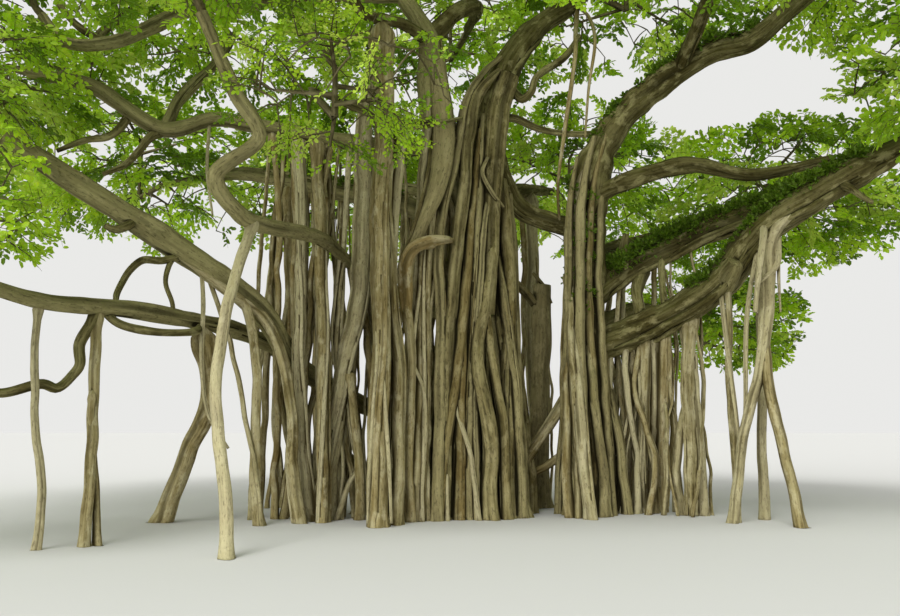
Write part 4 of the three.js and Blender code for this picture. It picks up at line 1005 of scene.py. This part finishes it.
HANGING_ROOTS = [
    ([(-7.1, -2.7, 6.5), (-6.95, -2.9, 5.5), (-6.9, -3.0, 4.0), (-6.7, -2.95, 2.7), (-6.2, -2.9, 1.9)],
     0.055),
    ([(-7.4, -1.4, 10.7), (-7.3, -1.8, 9.2), (-7.0, -2.2, 7.9)], 0.05),
    ([(3.2, 1.4, 15.5), (3.0, 0.6, 14.2), (2.88, 0.0, 13.2), (2.57, 0.2, 11.07), (2.36, 0.4, 9.38),
      (2.45, 0.9, 8.5)], 0.07),
    ([(3.15, 1.35, 15.5), (3.4, 0.4, 14.6), (3.44, -0.2, 13.55), (3.27, 0.0, 12.31), (3.15, 0.2, 10.8)],
     0.05),
    ([(7.9, -1.75, 7.4), (7.75, -1.9, 6.6), (7.2, -1.95, 6.1)], 0.09),
    ([(6.6, -0.8, 6.3), (6.6, -1.3, 4.2), (6.62, -1.75, 2.2), (6.6, -1.8, 1.5)], 0.065),
    ([(7.55, -1.5, 7.7), (6.98, -1.75, 5.3), (6.78, -1.9, 2.9), (6.68, -1.9, 2.0)], 0.065),
    ([(7.6, -1.5, 7.9), (7.46, -1.95, 7.5), (7.26, -2.15, 6.68), (7.12, -2.2, 5.9), (7.05, -2.2, 5.34)],
     0.1),
    ([(7.9, -1.8, 7.3), (7.85, -1.8, 6.3), (7.85, -1.8, 5.4)], 0.045),
    ([(-2.66, -2.45, 5.4), (-2.62, -2.66, 4.02), (-2.68, -2.7, 3.08), (-2.74, -2.75, 1.98),
      (-2.78, -2.74, 1.13), (-2.8, -2.75, 0.1)], 0.06),
    ([(-2.6, -2.45, 5.2), (-2.5, -2.66, 4.02), (-2.38, -2.7, 2.59), (-2.27, -2.74, 1.13),
      (-2.22, -2.78, 0.1)], 0.06),
    ([(-1.6, -1.3, 6.2), (-1.74, -1.5, 4.8), (-1.76, -1.5, 4.09), (-1.5, -1.5, 3.42), (-1.44, -1.48, 2.34),
      (-1.55, -1.5, 0.1)], 0.05),
]
strands = [
    root_strand(points, radius, 3000 + i, sides=12, tint=tint)
    for i, (points, radius, tint) in enumerate(PLACED_ROOTS)
]
for i, (points, radius) in enumerate(HANGING_ROOTS):
    radii = [radius, radius, 0.9 * radius, 0.6 * radius]
    tint = -0.7 if points[0][2] > 15 else 0.5
    strands.append(strand(points, radii, 3100 + i, sides=10, tint=tint))
strands.append(strand(BENT_ARM, BENT_ARM_RADII, 3200, spacing=0.07, knobs=0.08, tint=-0.9))
bark_piece("thin_roots_placed", strands, root_bark)

SHARE_STILL_HANGING = 0.12

dice = np.random.default_rng(77)
groups = {"thin_roots_left": [], "thin_roots_right": []}
for bough, lowest, highest, count in THIN_ROOTS:
    curve = smooth_curve(BOUGHS[bough][1])
    shares = lowest + (highest - lowest) * (np.arange(count) + dice.uniform(0, 1, count)) / count
    for x, y, height in places_along(curve, shares):
        radius = 0.035 + 0.085 * dice.uniform() ** 1.6
        lean = dice.uniform(-0.055, 0.055, 2) * height
        sway = dice.uniform(-0.3, 0.3, (2, 2))
        points = [
            (x + lean[0], y + lean[1], -BURIED),
            (x + 0.66 * lean[0] + sway[0, 0], y + 0.66 * lean[1] + sway[0, 1], 0.34 * height),
            (x + 0.33 * lean[0] + sway[1, 0], y + 0.33 * lean[1] + sway[1, 1], 0.67 * height),
            (x, y, height),
        ]
        group = groups["thin_roots_left" if x < 1 else "thin_roots_right"]
        tint = dice.uniform(-0.8, 0.7)
        seed = int(dice.integers(4000, 9000))
        if dice.uniform() < SHARE_STILL_HANGING:
            points[0] = (points[1][0], points[1][1], 0.16 * height)
            radii = [0.8 * radius, 0.7 * radius, 0.3 * radius]
            group.append(strand(points[::-1], radii, seed, sides=9, tint=tint))
        else:
            group.append(root_strand(points, radius, seed, spacing=0.13, sides=11, joint=0.4, tint=tint,
                                     wander=0.06))
for name, strands in groups.items():
    bark_piece(name, strands, root_bark)


# Crown
# Each mass is a stem from the tip of its bough, twigs by the golden angle and sprays of leaves.
# A leaf is broad, oval and leathery, folded a little along its midrib.

FLATNESS = 0.62
APART = 0.45
GOLDEN_ANGLE = math.pi * (3 - math.sqrt(5))
TWIGS = 6
STEM_RISE = 0.32
TWIG_RADIUS = 0.085
LIMB_CLEARANCE = 0.05
BLADE_LENGTH = 0.64
BLADE_WIDTH = 0.78
BLADE_WIDEST = 0.42
BLADE_THICKNESS = 0.055
# A mass's name, the bough that carries it, its centre and its reach to either side.
MASSES = [
    ("foliage_left_long", "bough_left_long", (-13.5, -5.6, 10.6), 4.3),
    ("foliage_left_low", "bough_left_low", (-11.4, -8.9, 6.6), 3.4),
    ("foliage_left_high", "bough_left_high", (-14.2, -0.8, 12.6), 4.6),
    ("foliage_left_top", "bough_left_top", (-11.7, -3.0, 15.0), 4.3),
    ("foliage_left_riser", "bough_left_riser", (-7.8, 1.4, 15.2), 4.8),
    ("foliage_left_back", "bough_left_back", (-12.0, 6.2, 11.6), 5.2),
    ("foliage_back_left", "bough_back_left", (-5.2, 9.4, 12.0), 5.6),
    ("foliage_back_right", "bough_back_right", (4.0, 9.8, 12.0), 5.6),
    ("foliage_right_back", "bough_right_back", (10.2, 4.8, 10.0), 4.8),
    ("foliage_right_back_low", "bough_right_back_low", (8.8, 8.0, 6.2), 3.8),
    ("foliage_right_low", "bough_right_low", (13.2, -4.0, 11.0), 4.6),
    ("foliage_right_high", "bough_right_high", (11.0, -2.4, 15.6), 4.7),
    ("foliage_front_right", "bough_front_right", (5.2, -7.4, 14.6), 4.8),
    ("foliage_top_front", "bough_top_front", (-1.3, -8.2, 14.7), 4.6),
    ("foliage_front_left", "bough_front_left", (-7.0, -8.2, 13.2), 4.6),
    ("foliage_front", "bough_front", (-3.3, -6.4, 9.6), 2.9),
    ("foliage_top_left", "bough_top_left", (-3.4, -2.4, 16.9), 4.6),
    ("foliage_top_back", "bough_top_back", (-0.8, 5.4, 16.4), 4.9),
    ("foliage_upper_right", "bough_upper_right", (4.8, 1.8, 16.5), 4.8),
]
centres = np.array([mass[2] for mass in MASSES])
reaches = np.array([mass[3] for mass in MASSES])
limb_places = np.vstack(limb_places)
limb_radii = np.concatenate(limb_radii)


def depths(points):
    """How far points are inside each mass: negative inside, zero on its outer face."""
    offset = np.atleast_2d(points)[:, None, :] - centres[None]
    return offset[..., 0] ** 2 + offset[..., 1] ** 2 + (offset[..., 2] / FLATNESS) ** 2 - reaches**2


def own(index, points):
    """Whether points are inside a mass, above the ground and deeper in it than in any other."""
    depth = depths(points)
    mine = depth[:, index]
    others = np.delete(depth, index, axis=1).min(axis=1)
    return (mine <= 0) & (np.atleast_2d(points)[:, 2] >= 0.5) & (others > mine + APART)


def turned(direction, away, spin):
    """A direction bent away from another, to the side that a spin round it gives."""
    helper = Vector((0, 0, 1)) if abs(direction.z) < 0.9 else Vector((1, 0, 0))
    across = direction.cross(helper).normalized()
    across.rotate(Quaternion(direction, spin))
    result = direction.copy()
    result.rotate(Quaternion(across, away))
    return result.normalized()


def blade_corners(blade):
    """The root, the tip, the two sides and the two faces of a blade of the solid parts."""
    middle = blade["root"] + blade["direction"] * blade["length"] * BLADE_WIDEST
    aside = blade["side"] * blade["length"] * BLADE_WIDTH / 2
    rise = blade["normal"] * blade["length"] * BLADE_THICKNESS / 2
    tip = blade["root"] + blade["direction"] * blade["length"]
    return [blade["root"], tip, middle + aside, middle - aside, middle + rise, middle - rise]


def blade_is_clear(index, blade, near_places, near_radii):
    """Whether a blade keeps to its mass's space and clear of the limbs."""
    if not own(index, np.array([tuple(corner) for corner in blade_corners(blade)[1:]])).all():
        return False
    offset = near_places - np.array(blade["root"])
    length = blade["length"]
    reach = near_radii + LIMB_CLEARANCE + length * BLADE_THICKNESS / 2
    on_length = offset @ np.array(blade["direction"]) / length
    fall = (1 - on_length) / (1 - BLADE_WIDEST)
    breadth = np.where(on_length < BLADE_WIDEST, on_length / BLADE_WIDEST, fall)
    half_width = length * BLADE_WIDTH * np.maximum(0, breadth) / 2
    clear = (on_length * length < -reach) | ((on_length - 1) * length > reach)
    clear |= np.abs(offset @ np.array(blade["normal"])) > reach
    clear |= np.abs(offset @ np.array(blade["side"])) > half_width + reach * 1.3
    return clear.all()


def line_crosses_blade(start, end, blade):
    """Whether the line between two places runs through a blade."""
    start = start - blade["root"]
    end = end - blade["root"]
    rise = start.dot(blade["normal"])
    fall = end.dot(blade["normal"])
    if rise * fall > 0:
        return False
    at = start.lerp(end, rise / (rise - fall)) if rise != fall else start
    on_length = at.dot(blade["direction"]) / blade["length"]
    if on_length < 0.02 or on_length > 1.05:
        return False
    share = on_length / BLADE_WIDEST if on_length < BLADE_WIDEST else (1 - on_length) / (1 - BLADE_WIDEST)
    return abs(at.dot(blade["side"])) < blade["length"] * BLADE_WIDTH * (share + 0.1) / 2


def blades_cross(one, other):
    """Whether an edge or the midrib of either blade runs through the other."""

    def crosses(first, second):
        root, tip, left, right = blade_corners(first)[:4]
        lines = ((root, tip), (root, left), (root, right), (left, tip), (right, tip), (left, right))
        return any(line_crosses_blade(start, end, second) for start, end in lines)

    return crosses(one, other) or crosses(other, one)


def grow_mass(index, seed):
    """The stem, the leader, the twigs and the blades of a mass, by the solid parts' own rule."""
    bough, centre, reach = MASSES[index][1], Vector(MASSES[index][2]), MASSES[index][3]
    random = seeded(seed)
    places = smooth_curve(BOUGHS[bough][1])[0]
    tip = Vector(places[-1])
    heading = (tip - Vector(places[-2])).normalized()
    near = depths(limb_places)[:, index] < 4 * (1 + limb_radii)
    near_places, near_radii = limb_places[near], limb_radii[near]
    rise = Vector((0, 0, STEM_RISE * reach * FLATNESS))
    hub = centre - rise
    top = centre + rise
    bend = tip + heading * 0.35 * (hub - tip).length
    twigs = []
    directions = []
    blades = []

    def twig_is_clear(start, end):
        samples = np.array([tuple(start.lerp(end, i / 6)) for i in range(1, 7)])
        if not own(index, samples).all():
            return False
        line = np.array(end - start)
        share = np.clip((near_places - np.array(start)) @ line / line.dot(line), 0, 1)
        away = np.linalg.norm(np.array(start) + share[:, None] * line - near_places, axis=1)
        return (away > near_radii + TWIG_RADIUS + LIMB_CLEARANCE).all()

    def add_blade(root, direction):
        for share, away in ((1, 0.2), (1, 0.7), (0.85, 0.4), (0.8, 0.9), (0.65, 0.5), (0.6, 1.1)):
            heading = turned(direction, away, random() * 2 * math.pi)
            facing = ((root - centre).normalized() + Vector((0, 0, 0.6))).normalized()
            facing += Vector((random() - 0.5, random() - 0.5, random() - 0.5)) * 0.9
            side = facing.cross(heading).normalized()
            normal = heading.cross(side).normalized()
            length = reach * BLADE_LENGTH * share * (0.9 + 0.2 * random())
            blade = dict(root=root, direction=heading, side=side, normal=normal, length=length)
            crossed = any(blades_cross(blade, other) for other in blades) or any(
                line_crosses_blade(start, end, blade) for start, end in twigs
            )
            if not crossed and blade_is_clear(index, blade, near_places, near_radii):
                blades.append(blade)
                return

    spin = random() * 2 * math.pi
    for i in range(TWIGS):
        rise = 0.95 - 1.5 * (i + 0.5) / TWIGS
        across = math.sqrt(1 - rise * rise)
        turn = spin + i * GOLDEN_ANGLE
        direction = Vector((across * math.cos(turn), across * math.sin(turn), rise))
        start = top.lerp(hub, (0.96 * i + 0.02) / (TWIGS - 1))
        flat = Vector((direction.x, direction.y, direction.z * FLATNESS))
        for share in (0.44, 0.36, 0.28, 0.2):
            end = start + flat * reach * share
            if twig_is_clear(start, end):
                twigs.append((start, end))
                directions.append(direction)
                break
    for (start, end), direction in zip(list(twigs), directions):
        spin = random() * math.pi
        add_blade(start.lerp(end, 0.97), direction)
        add_blade(start.lerp(end, 0.72), turned(direction, 1.0, spin))
        add_blade(start.lerp(end, 0.5), turned(direction, 1.0, spin + math.pi))
    return (tip, bend, hub, top), twigs, blades


# The box that no leaf leaves: the solid parts' own, and a little room on each side.
SHARE_BEYOND = 0.018
margin = SHARE_BEYOND * (np.array(solid_high) - np.array(solid_low))
lowest_leaf = np.array(solid_low) - margin
highest_leaf = np.array(solid_high) + margin
twig_lines = []
limb_tree = KDTree(len(limb_places))
for i, place in enumerate(limb_places):
    limb_tree.insert(place, i)
limb_tree.balance()
CROWN_GREENS = 4
leaf_groups = [[] for group in range(CROWN_GREENS + 1)]


def unit(vectors):
    """Vectors made one unit long."""
    return vectors / np.maximum(np.linalg.norm(vectors, axis=-1, keepdims=True), 1e-9)


def is_inside(index, points):
    """Whether points are in a mass's own space and hardly beyond the box of the solid parts."""
    return own(index, points) & ((points > lowest_leaf) & (points < highest_leaf)).all(axis=1)


def twig_line(points, radii):
    """Notes a twig as a run of points with a radius at each."""
    twig_lines.append((np.array(points, float), np.array(radii, float)))


# How far apart the shoots stand on a spray's axis, and the leaves on a shoot.
SHOOT_GAP = 0.14
LEAF_GAP = 0.057
DOWN = np.array([0, 0, -1.0])


def bowed(root, direction, length, shares, sag):
    """Places along a line that sags the more the further it reaches."""
    return root + direction * (shares * length)[:, None] + DOWN * (sag * length * shares**2)[:, None]


def add_spray(index, dice, root, direction, side, normal, length, width, green, leaf_size):
    """A spray: an axis, shoots to either side within a kite, and leaves along each shoot."""
    count = max(6, round(length / SHOOT_GAP))
    share = 0.1 + 0.88 * (np.arange(count) + dice.uniform(0.2, 0.8, count)) / count
    start = bowed(root, direction, length, share, 0.1)
    hand = np.where(np.arange(count) % 2, 1.0, -1.0)
    kite = np.where(share < BLADE_WIDEST, share / BLADE_WIDEST, (1 - share) / (1 - BLADE_WIDEST))
    reach = (0.5 * width * kite + 0.16) * dice.uniform(0.75, 1.1, count)
    lift = dice.uniform(-0.5, 0.55, count)
    heading = unit(direction * 0.6 + side * hand[:, None] * 0.85 + normal * lift[:, None])
    inside = is_inside(index, start + heading * reach[:, None] * 0.8)
    if not inside.any():
        return
    axis = bowed(root, direction, length, np.linspace(0, share[inside].max(), 5), 0.1)
    twig_line(axis, np.linspace(0.012 + 0.008 * length, 0.005, 5))
    bases, ways, shoots = [], [], []
    for k in np.flatnonzero(inside):
        leaves = max(4, round(reach[k] / LEAF_GAP))
        steps = (np.arange(leaves) + 0.6) / leaves
        bases.append(bowed(start[k], heading[k], reach[k], steps, 0.12))
        ways.append(np.where(np.arange(leaves) % 2, 1.0, -1.0) * np.where(steps > 0.93, 0.2, 1.0))
        shoots.append(np.repeat(heading[k][None], leaves, 0))
        shoot_end = start[k] + heading[k] * reach[k] * 0.9 + DOWN * 0.1 * reach[k]
        twig_line([start[k], shoot_end], [0.008, 0.003])
    base, way, shoot = np.vstack(bases), np.concatenate(ways), np.vstack(shoots)
    number = len(base)
    cross = unit(np.cross(shoot, normal) + 1e-6)
    heading = shoot * 0.75 + cross * way[:, None] * 0.8 + dice.normal(0, 0.32, (number, 3))
    heading = unit(heading + np.array([0, 0, -0.3]))
    up = unit(normal * 0.6 + np.array([0, 0, 0.45]) + dice.normal(0, 0.5, (number, 3)))
    size = leaf_size * dice.uniform(0.72, 1.18, number)
    fits = is_inside(index, base + heading * size[:, None] * 0.8)
    for k in np.flatnonzero(fits):
        near, away = limb_tree.find(base[k] + heading[k] * size[k] * 0.5)[1:]
        fits[k] = away > limb_radii[near] + 0.08
    tone = np.full(number, dice.uniform(0, 1)) * 0.6 + dice.uniform(0, 0.4, number)
    leaf_groups[green].append((base[fits], heading[fits], up[fits], size[fits], tone[fits]))


# Leaves are smaller on the masses towards the front, and smallest on the low one there.
LEAF_SIZE = 0.205
NEAR_LEAF_SIZE = 0.175
LOW_LEAF_SIZE = 0.12
NEAR_FRONT = -5
EXTRA_SPRAYS = 104
LOW_EXTRA_SPRAYS = 46

spray_number = 0
for index, (name, bough, centre, reach) in enumerate(MASSES):
    (tip, bend, hub, top), twigs, blades = grow_mass(index, 500 + index)
    dice = np.random.default_rng(900 + index)
    stem = places_along(smooth_curve([tip, bend, hub]), np.linspace(0, 1, 9))
    tip_radius = BOUGHS[bough][0][-1]
    twig_line(stem, np.linspace(tip_radius, 0.11, 9))
    twig_line([hub, top], [0.1, 0.06])
    skeleton = [np.array(hub) + (np.array(top) - np.array(hub)) * share for share in np.linspace(0, 1, 8)]
    for start, end in twigs:
        shares = np.linspace(0, 1, 7)[:, None]
        line = np.array(start) + (np.array(end) - np.array(start)) * shares
        twig_line(line, np.linspace(0.075, 0.035, 7))
        skeleton.extend(line)
    leaf_size = NEAR_LEAF_SIZE if centre[1] < NEAR_FRONT else LEAF_SIZE
    extra_sprays = EXTRA_SPRAYS
    if name == "foliage_front":
        leaf_size = LOW_LEAF_SIZE
        extra_sprays = LOW_EXTRA_SPRAYS
    for blade in blades:
        spray_number += 1
        placing = [np.array(blade[key]) for key in ("root", "direction", "side", "normal")]
        length = blade["length"]
        add_spray(index, dice, *placing, length, length * BLADE_WIDTH,
                  spray_number % CROWN_GREENS, leaf_size)
    number = np.arange(extra_sprays)
    rise = 0.97 - 1.7 * (number + 0.5) / extra_sprays
    turn = dice.uniform(0, 6.28) + number * GOLDEN_ANGLE
    outward = np.stack([np.sqrt(1 - rise**2) * np.cos(turn), np.sqrt(1 - rise**2) * np.sin(turn), rise], 1)
    share = np.array([0.62, 0.78, 0.45, 0.7, 0.8])[number % 5] * dice.uniform(0.85, 1.06, extra_sprays)
    roots = np.array(centre) + outward * (share * reach)[:, None] * np.array([1, 1, FLATNESS])
    for k in np.argsort(share):
        near, away = limb_tree.find(roots[k])[1:]
        if not own(index, roots[k])[0] or away < limb_radii[near] + 0.15:
            continue
        known = np.array(skeleton)
        distance = np.linalg.norm(known - roots[k], axis=1)
        joint = known[distance.argmin()]
        elbow = (joint + roots[k]) / 2 + np.array([0, 0, 0.08 * distance.min()])
        branchlet = places_along(smooth_curve([joint, elbow, roots[k]]), np.linspace(0, 1, 5))
        twig_line(branchlet, np.linspace(0.03, 0.016, 5))
        skeleton.extend(branchlet[1:])
        direction = unit(outward[k] + dice.normal(0, 0.3, 3) + np.array([0, 0, 0.1]))
        helper = unit(outward[k] * 0.4 + np.array([0, 0, 0.8]) + dice.normal(0, 0.3, 3))
        side = unit(np.cross(helper, direction))
        normal = np.cross(direction, side)
        spray_number += 1
        length = reach * dice.uniform(0.28, 0.4)
        add_spray(index, dice, roots[k], direction, side, normal, length, length * 0.9,
                  spray_number % CROWN_GREENS, leaf_size)


# The bough, the shares of its length between which tufts stand, how many, and their size.
TUFTS = [
    ("bough_right_mid", 0.12, 0.95, 90, 0.55),
    ("bough_right_low", 0.3, 0.85, 80, 0.42),
    ("bough_right_high", 0.12, 0.8, 44, 0.34),
    ("bough_left_back", 0.2, 0.7, 16, 0.25),
]
TRUNK_TUFTS = 20


def add_tuft(dice, root, size):
    """A tuft of short shoots of small leaves that springs from the upper side of a limb."""
    number = int(190 * size) + 12
    outward = unit(dice.normal(0, 1, (number, 3)) * np.array([1, 1, 0.7]) + np.array([0, 0, 0.5]))
    base = root + outward * (size * dice.uniform(0.1, 0.75, number) ** 0.8)[:, None]
    heading = unit(outward + dice.normal(0, 0.5, (number, 3)))
    up = unit(np.array([0, 0, 1.0]) + dice.normal(0, 0.5, (number, 3)))
    leaves = (base, heading, up, dice.uniform(0.09, 0.16, number), dice.uniform(0, 0.8, number))
    leaf_groups[-1].append(leaves)
    for k in range(0, number, 6):
        twig_line([root, base[k]], [0.012, 0.004])


dice = np.random.default_rng(404)
for bough, lowest, highest, count, size in TUFTS:
    radii, path = BOUGHS[bough]
    shares = dice.uniform(lowest, highest, count)
    tops = places_along(smooth_curve(path), shares)
    tops[:, 2] += 0.85 * sizes_along(radii, shares)
    tops[:, 1] -= dice.uniform(-0.3, 0.9, count) * sizes_along(radii, shares)
    for root in tops:
        add_tuft(dice, root, size * dice.uniform(0.5, 1.1))
for k in range(TRUNK_TUFTS):
    root = np.array([2.95 + dice.uniform(-0.4, 0.3), 0.25 + dice.uniform(-0.1, 0.1), 5.6 + 0.2 * k])
    add_tuft(dice, root, 0.3 * dice.uniform(0.5, 1.1))


foliage_nodes = [mass[0] for mass in MASSES]
twig_bark = bark_material(
    "twig_bark", dark=(0.04, 0.033, 0.014), base=(0.14, 0.115, 0.05), pale=(0.3, 0.26, 0.15),
    ochre=(0.2, 0.14, 0.05), moss=(0.1, 0.12, 0.03), moss_share=0.3,
)


def twig_piece(name, lines):
    """One piece of thin three-sided twigs, each a run of points with a radius at each."""
    places, faces, grains = [], [], []
    first = 0
    for points, radii in lines:
        across, beside = frames_along(points)
        run = np.concatenate([[0], np.cumsum(np.linalg.norm(np.diff(points, axis=0), axis=1))])
        count = len(points)
        low = np.arange(count - 1)
        for k in range(3):
            turn = k * 2 * math.pi / 3
            spoke = across * math.cos(turn) + beside * math.sin(turn)
            places.append(points + spoke * radii[:, None])
            corner = np.tile([math.cos(turn) * 0.05, math.sin(turn) * 0.05], (count, 1))
            grains.append(np.column_stack([corner, run + points[0][0]]))
            here = first + k * count + low
            there = first + (k + 1) % 3 * count + low
            faces.append(np.stack([here, there, there + 1], 1))
            faces.append(np.stack([here, there + 1, here + 1], 1))
        first += 3 * count
    faces = np.vstack(faces)
    attributes = [("grain", "FLOAT_VECTOR", "vector", np.vstack(grains))]
    attributes += [(key, "FLOAT", "value", np.zeros(first)) for key in ("hollow_shade", "tint", "gap_shade")]
    piece = mesh_piece(name, np.vstack(places), faces.ravel(), np.full(len(faces), 3), twig_bark,
                       foliage_nodes, attributes)
    piece.data.shade_smooth()


twig_piece("crown_twigs", [line for line in twig_lines if len(line[0]) > 2])
twig_piece("crown_shoots", [line for line in twig_lines if len(line[0]) == 2])

# A leaf of unit length: six corners, with the stalk first, and four faces that meet at its midrib.
LEAF_OUTLINE = np.array([[0, 0], [0.24, 0.29], [0.72, 0.27], [1, 0], [0.72, -0.27], [0.24, -0.29]])
LEAF_FACES = np.array([[0, 5, 4], [0, 4, 3], [0, 3, 2], [0, 2, 1]])
LEAF_FOLD = 0.3
RIB_GREEN = (0.55, 0.62, 0.25)


def leaf_material(name, green):
    """A leathery leaf: one green, a paler midrib, a little blotching and light through the blade."""
    leaf = Finish(name, roughness=0.48, specular=0.25)
    blade = leaf.axes(leaf.attribute("blade", "Vector"))
    tone = leaf.node("ShaderNodeHueSaturation", Color=(*green, 1))
    leaf.link(leaf.range_of(blade["Y"], 0.0, 1.0, 0.72, 1.3), tone.inputs["Value"])
    blotch = leaf.node("ShaderNodeTexNoise", Scale=14)
    leaf.link(leaf.node("ShaderNodeTexCoord").outputs["Object"], blotch.inputs["Vector"])
    colour = leaf.mix(0.35, tone.outputs["Color"], blotch.outputs["Color"], blend="MULTIPLY")
    colour = leaf.mix(leaf.range_of(blade["X"], 0.0, 0.1, 0.55, 0.0), colour, RIB_GREEN)
    leaf.link(colour, leaf.shader.inputs["Base Color"])
    through = leaf.node("ShaderNodeBsdfTranslucent")
    leaf.link(colour, through.inputs["Color"])
    both = leaf.node("ShaderNodeMixShader", Fac=0.42)
    leaf.link(leaf.shader.outputs["BSDF"], both.inputs[1])
    leaf.link(through.outputs["BSDF"], both.inputs[2])
    leaf.link(both.outputs["Shader"], leaf.material.node_tree.nodes["Material Output"].inputs["Surface"])
    return leaf.material


LEAF_GREENS = {
    "leaves_mid_green": (0.41, 0.66, 0.018),
    "leaves_bright_green": (0.57, 0.85, 0.03),
    "leaves_deep_green": (0.2, 0.36, 0.01),
    "leaves_pale_green": (0.68, 0.9, 0.1),
    "leaves_tufts": (0.14, 0.25, 0.012),
}
for (name, colour), group in zip(LEAF_GREENS.items(), leaf_groups):
    base, heading, up, size, tone = (np.concatenate([part[k] for part in group]) for k in range(5))
    side = unit(np.cross(up, heading))
    normal = np.cross(heading, side)
    along, across = LEAF_OUTLINE[:, 0], LEAF_OUTLINE[:, 1]
    places = base[:, None] + heading[:, None] * (along[None] * size[:, None])[..., None]
    places += side[:, None] * (across[None] * size[:, None])[..., None]
    places += normal[:, None] * (np.abs(across)[None] * LEAF_FOLD * size[:, None])[..., None]
    faces = LEAF_FACES[None] + 6 * np.arange(len(base))[:, None, None]
    blade = np.stack([
        np.tile(np.abs(across) / 0.29, len(base)),
        np.repeat(tone, 6),
        np.tile(along, len(base)),
    ], 1)
    mesh_piece(name, places.reshape(-1, 3), faces.ravel(), np.full(4 * len(base), 3),
               leaf_material(name, colour), foliage_nodes,
               [("blade", "FLOAT_VECTOR", "vector", blade)])


# Studio
# A plain pale floor under soft light, and the photograph's point of view.

floor_shape = bmesh.new()
bmesh.ops.create_grid(floor_shape, x_segments=1, y_segments=1, size=400)
floor_mesh = bpy.data.meshes.new("floor")
floor_shape.to_mesh(floor_mesh)
floor_shape.free()
floor = bpy.data.objects.new("floor", floor_mesh)
bpy.context.scene.collection.objects.link(floor)
floor_paint = Finish("floor", roughness=0.95, specular=0.5)
floor_paint.shader.inputs["Base Color"].default_value = (0.55, 0.55, 0.53, 1)
floor_mesh.materials.append(floor_paint.material)

world = bpy.data.worlds.new("sky")
world.use_nodes = True
backdrop = world.node_tree.nodes["Background"]
backdrop.inputs["Color"].default_value = (1.0, 1.0, 0.98, 1)
backdrop.inputs["Strength"].default_value = 0.82
bpy.context.scene.world = world
bpy.context.scene.view_settings.view_transform = "Standard"
# A lamp's name, strength, width in degrees, tilt from straight down and turn.
LAMPS = [
    ("high_light", 2.2, 25, 40, -20),
    ("front_light", 1.3, 50, 72, -32),
]
for name, strength, width, tilt, turn in LAMPS:
    lamp = bpy.data.lights.new(name, "SUN")
    lamp.energy = strength
    lamp.angle = math.radians(width)
    lamp_object = bpy.data.objects.new(name, lamp)
    lamp_object.rotation_euler = (math.radians(tilt), 0, math.radians(turn))
    bpy.context.scene.collection.objects.link(lamp_object)

camera = bpy.data.cameras.new("camera")
camera.lens = 35
camera.sensor_width = 36
camera.clip_end = 1000
camera_object = bpy.data.objects.new("camera", camera)
camera_object.location = (-0.8, -24.5, 2.4)
camera_object.rotation_euler = (math.radians(97.79), 0, 0)
bpy.context.scene.collection.objects.link(camera_object)
bpy.context.scene.camera = camera_object
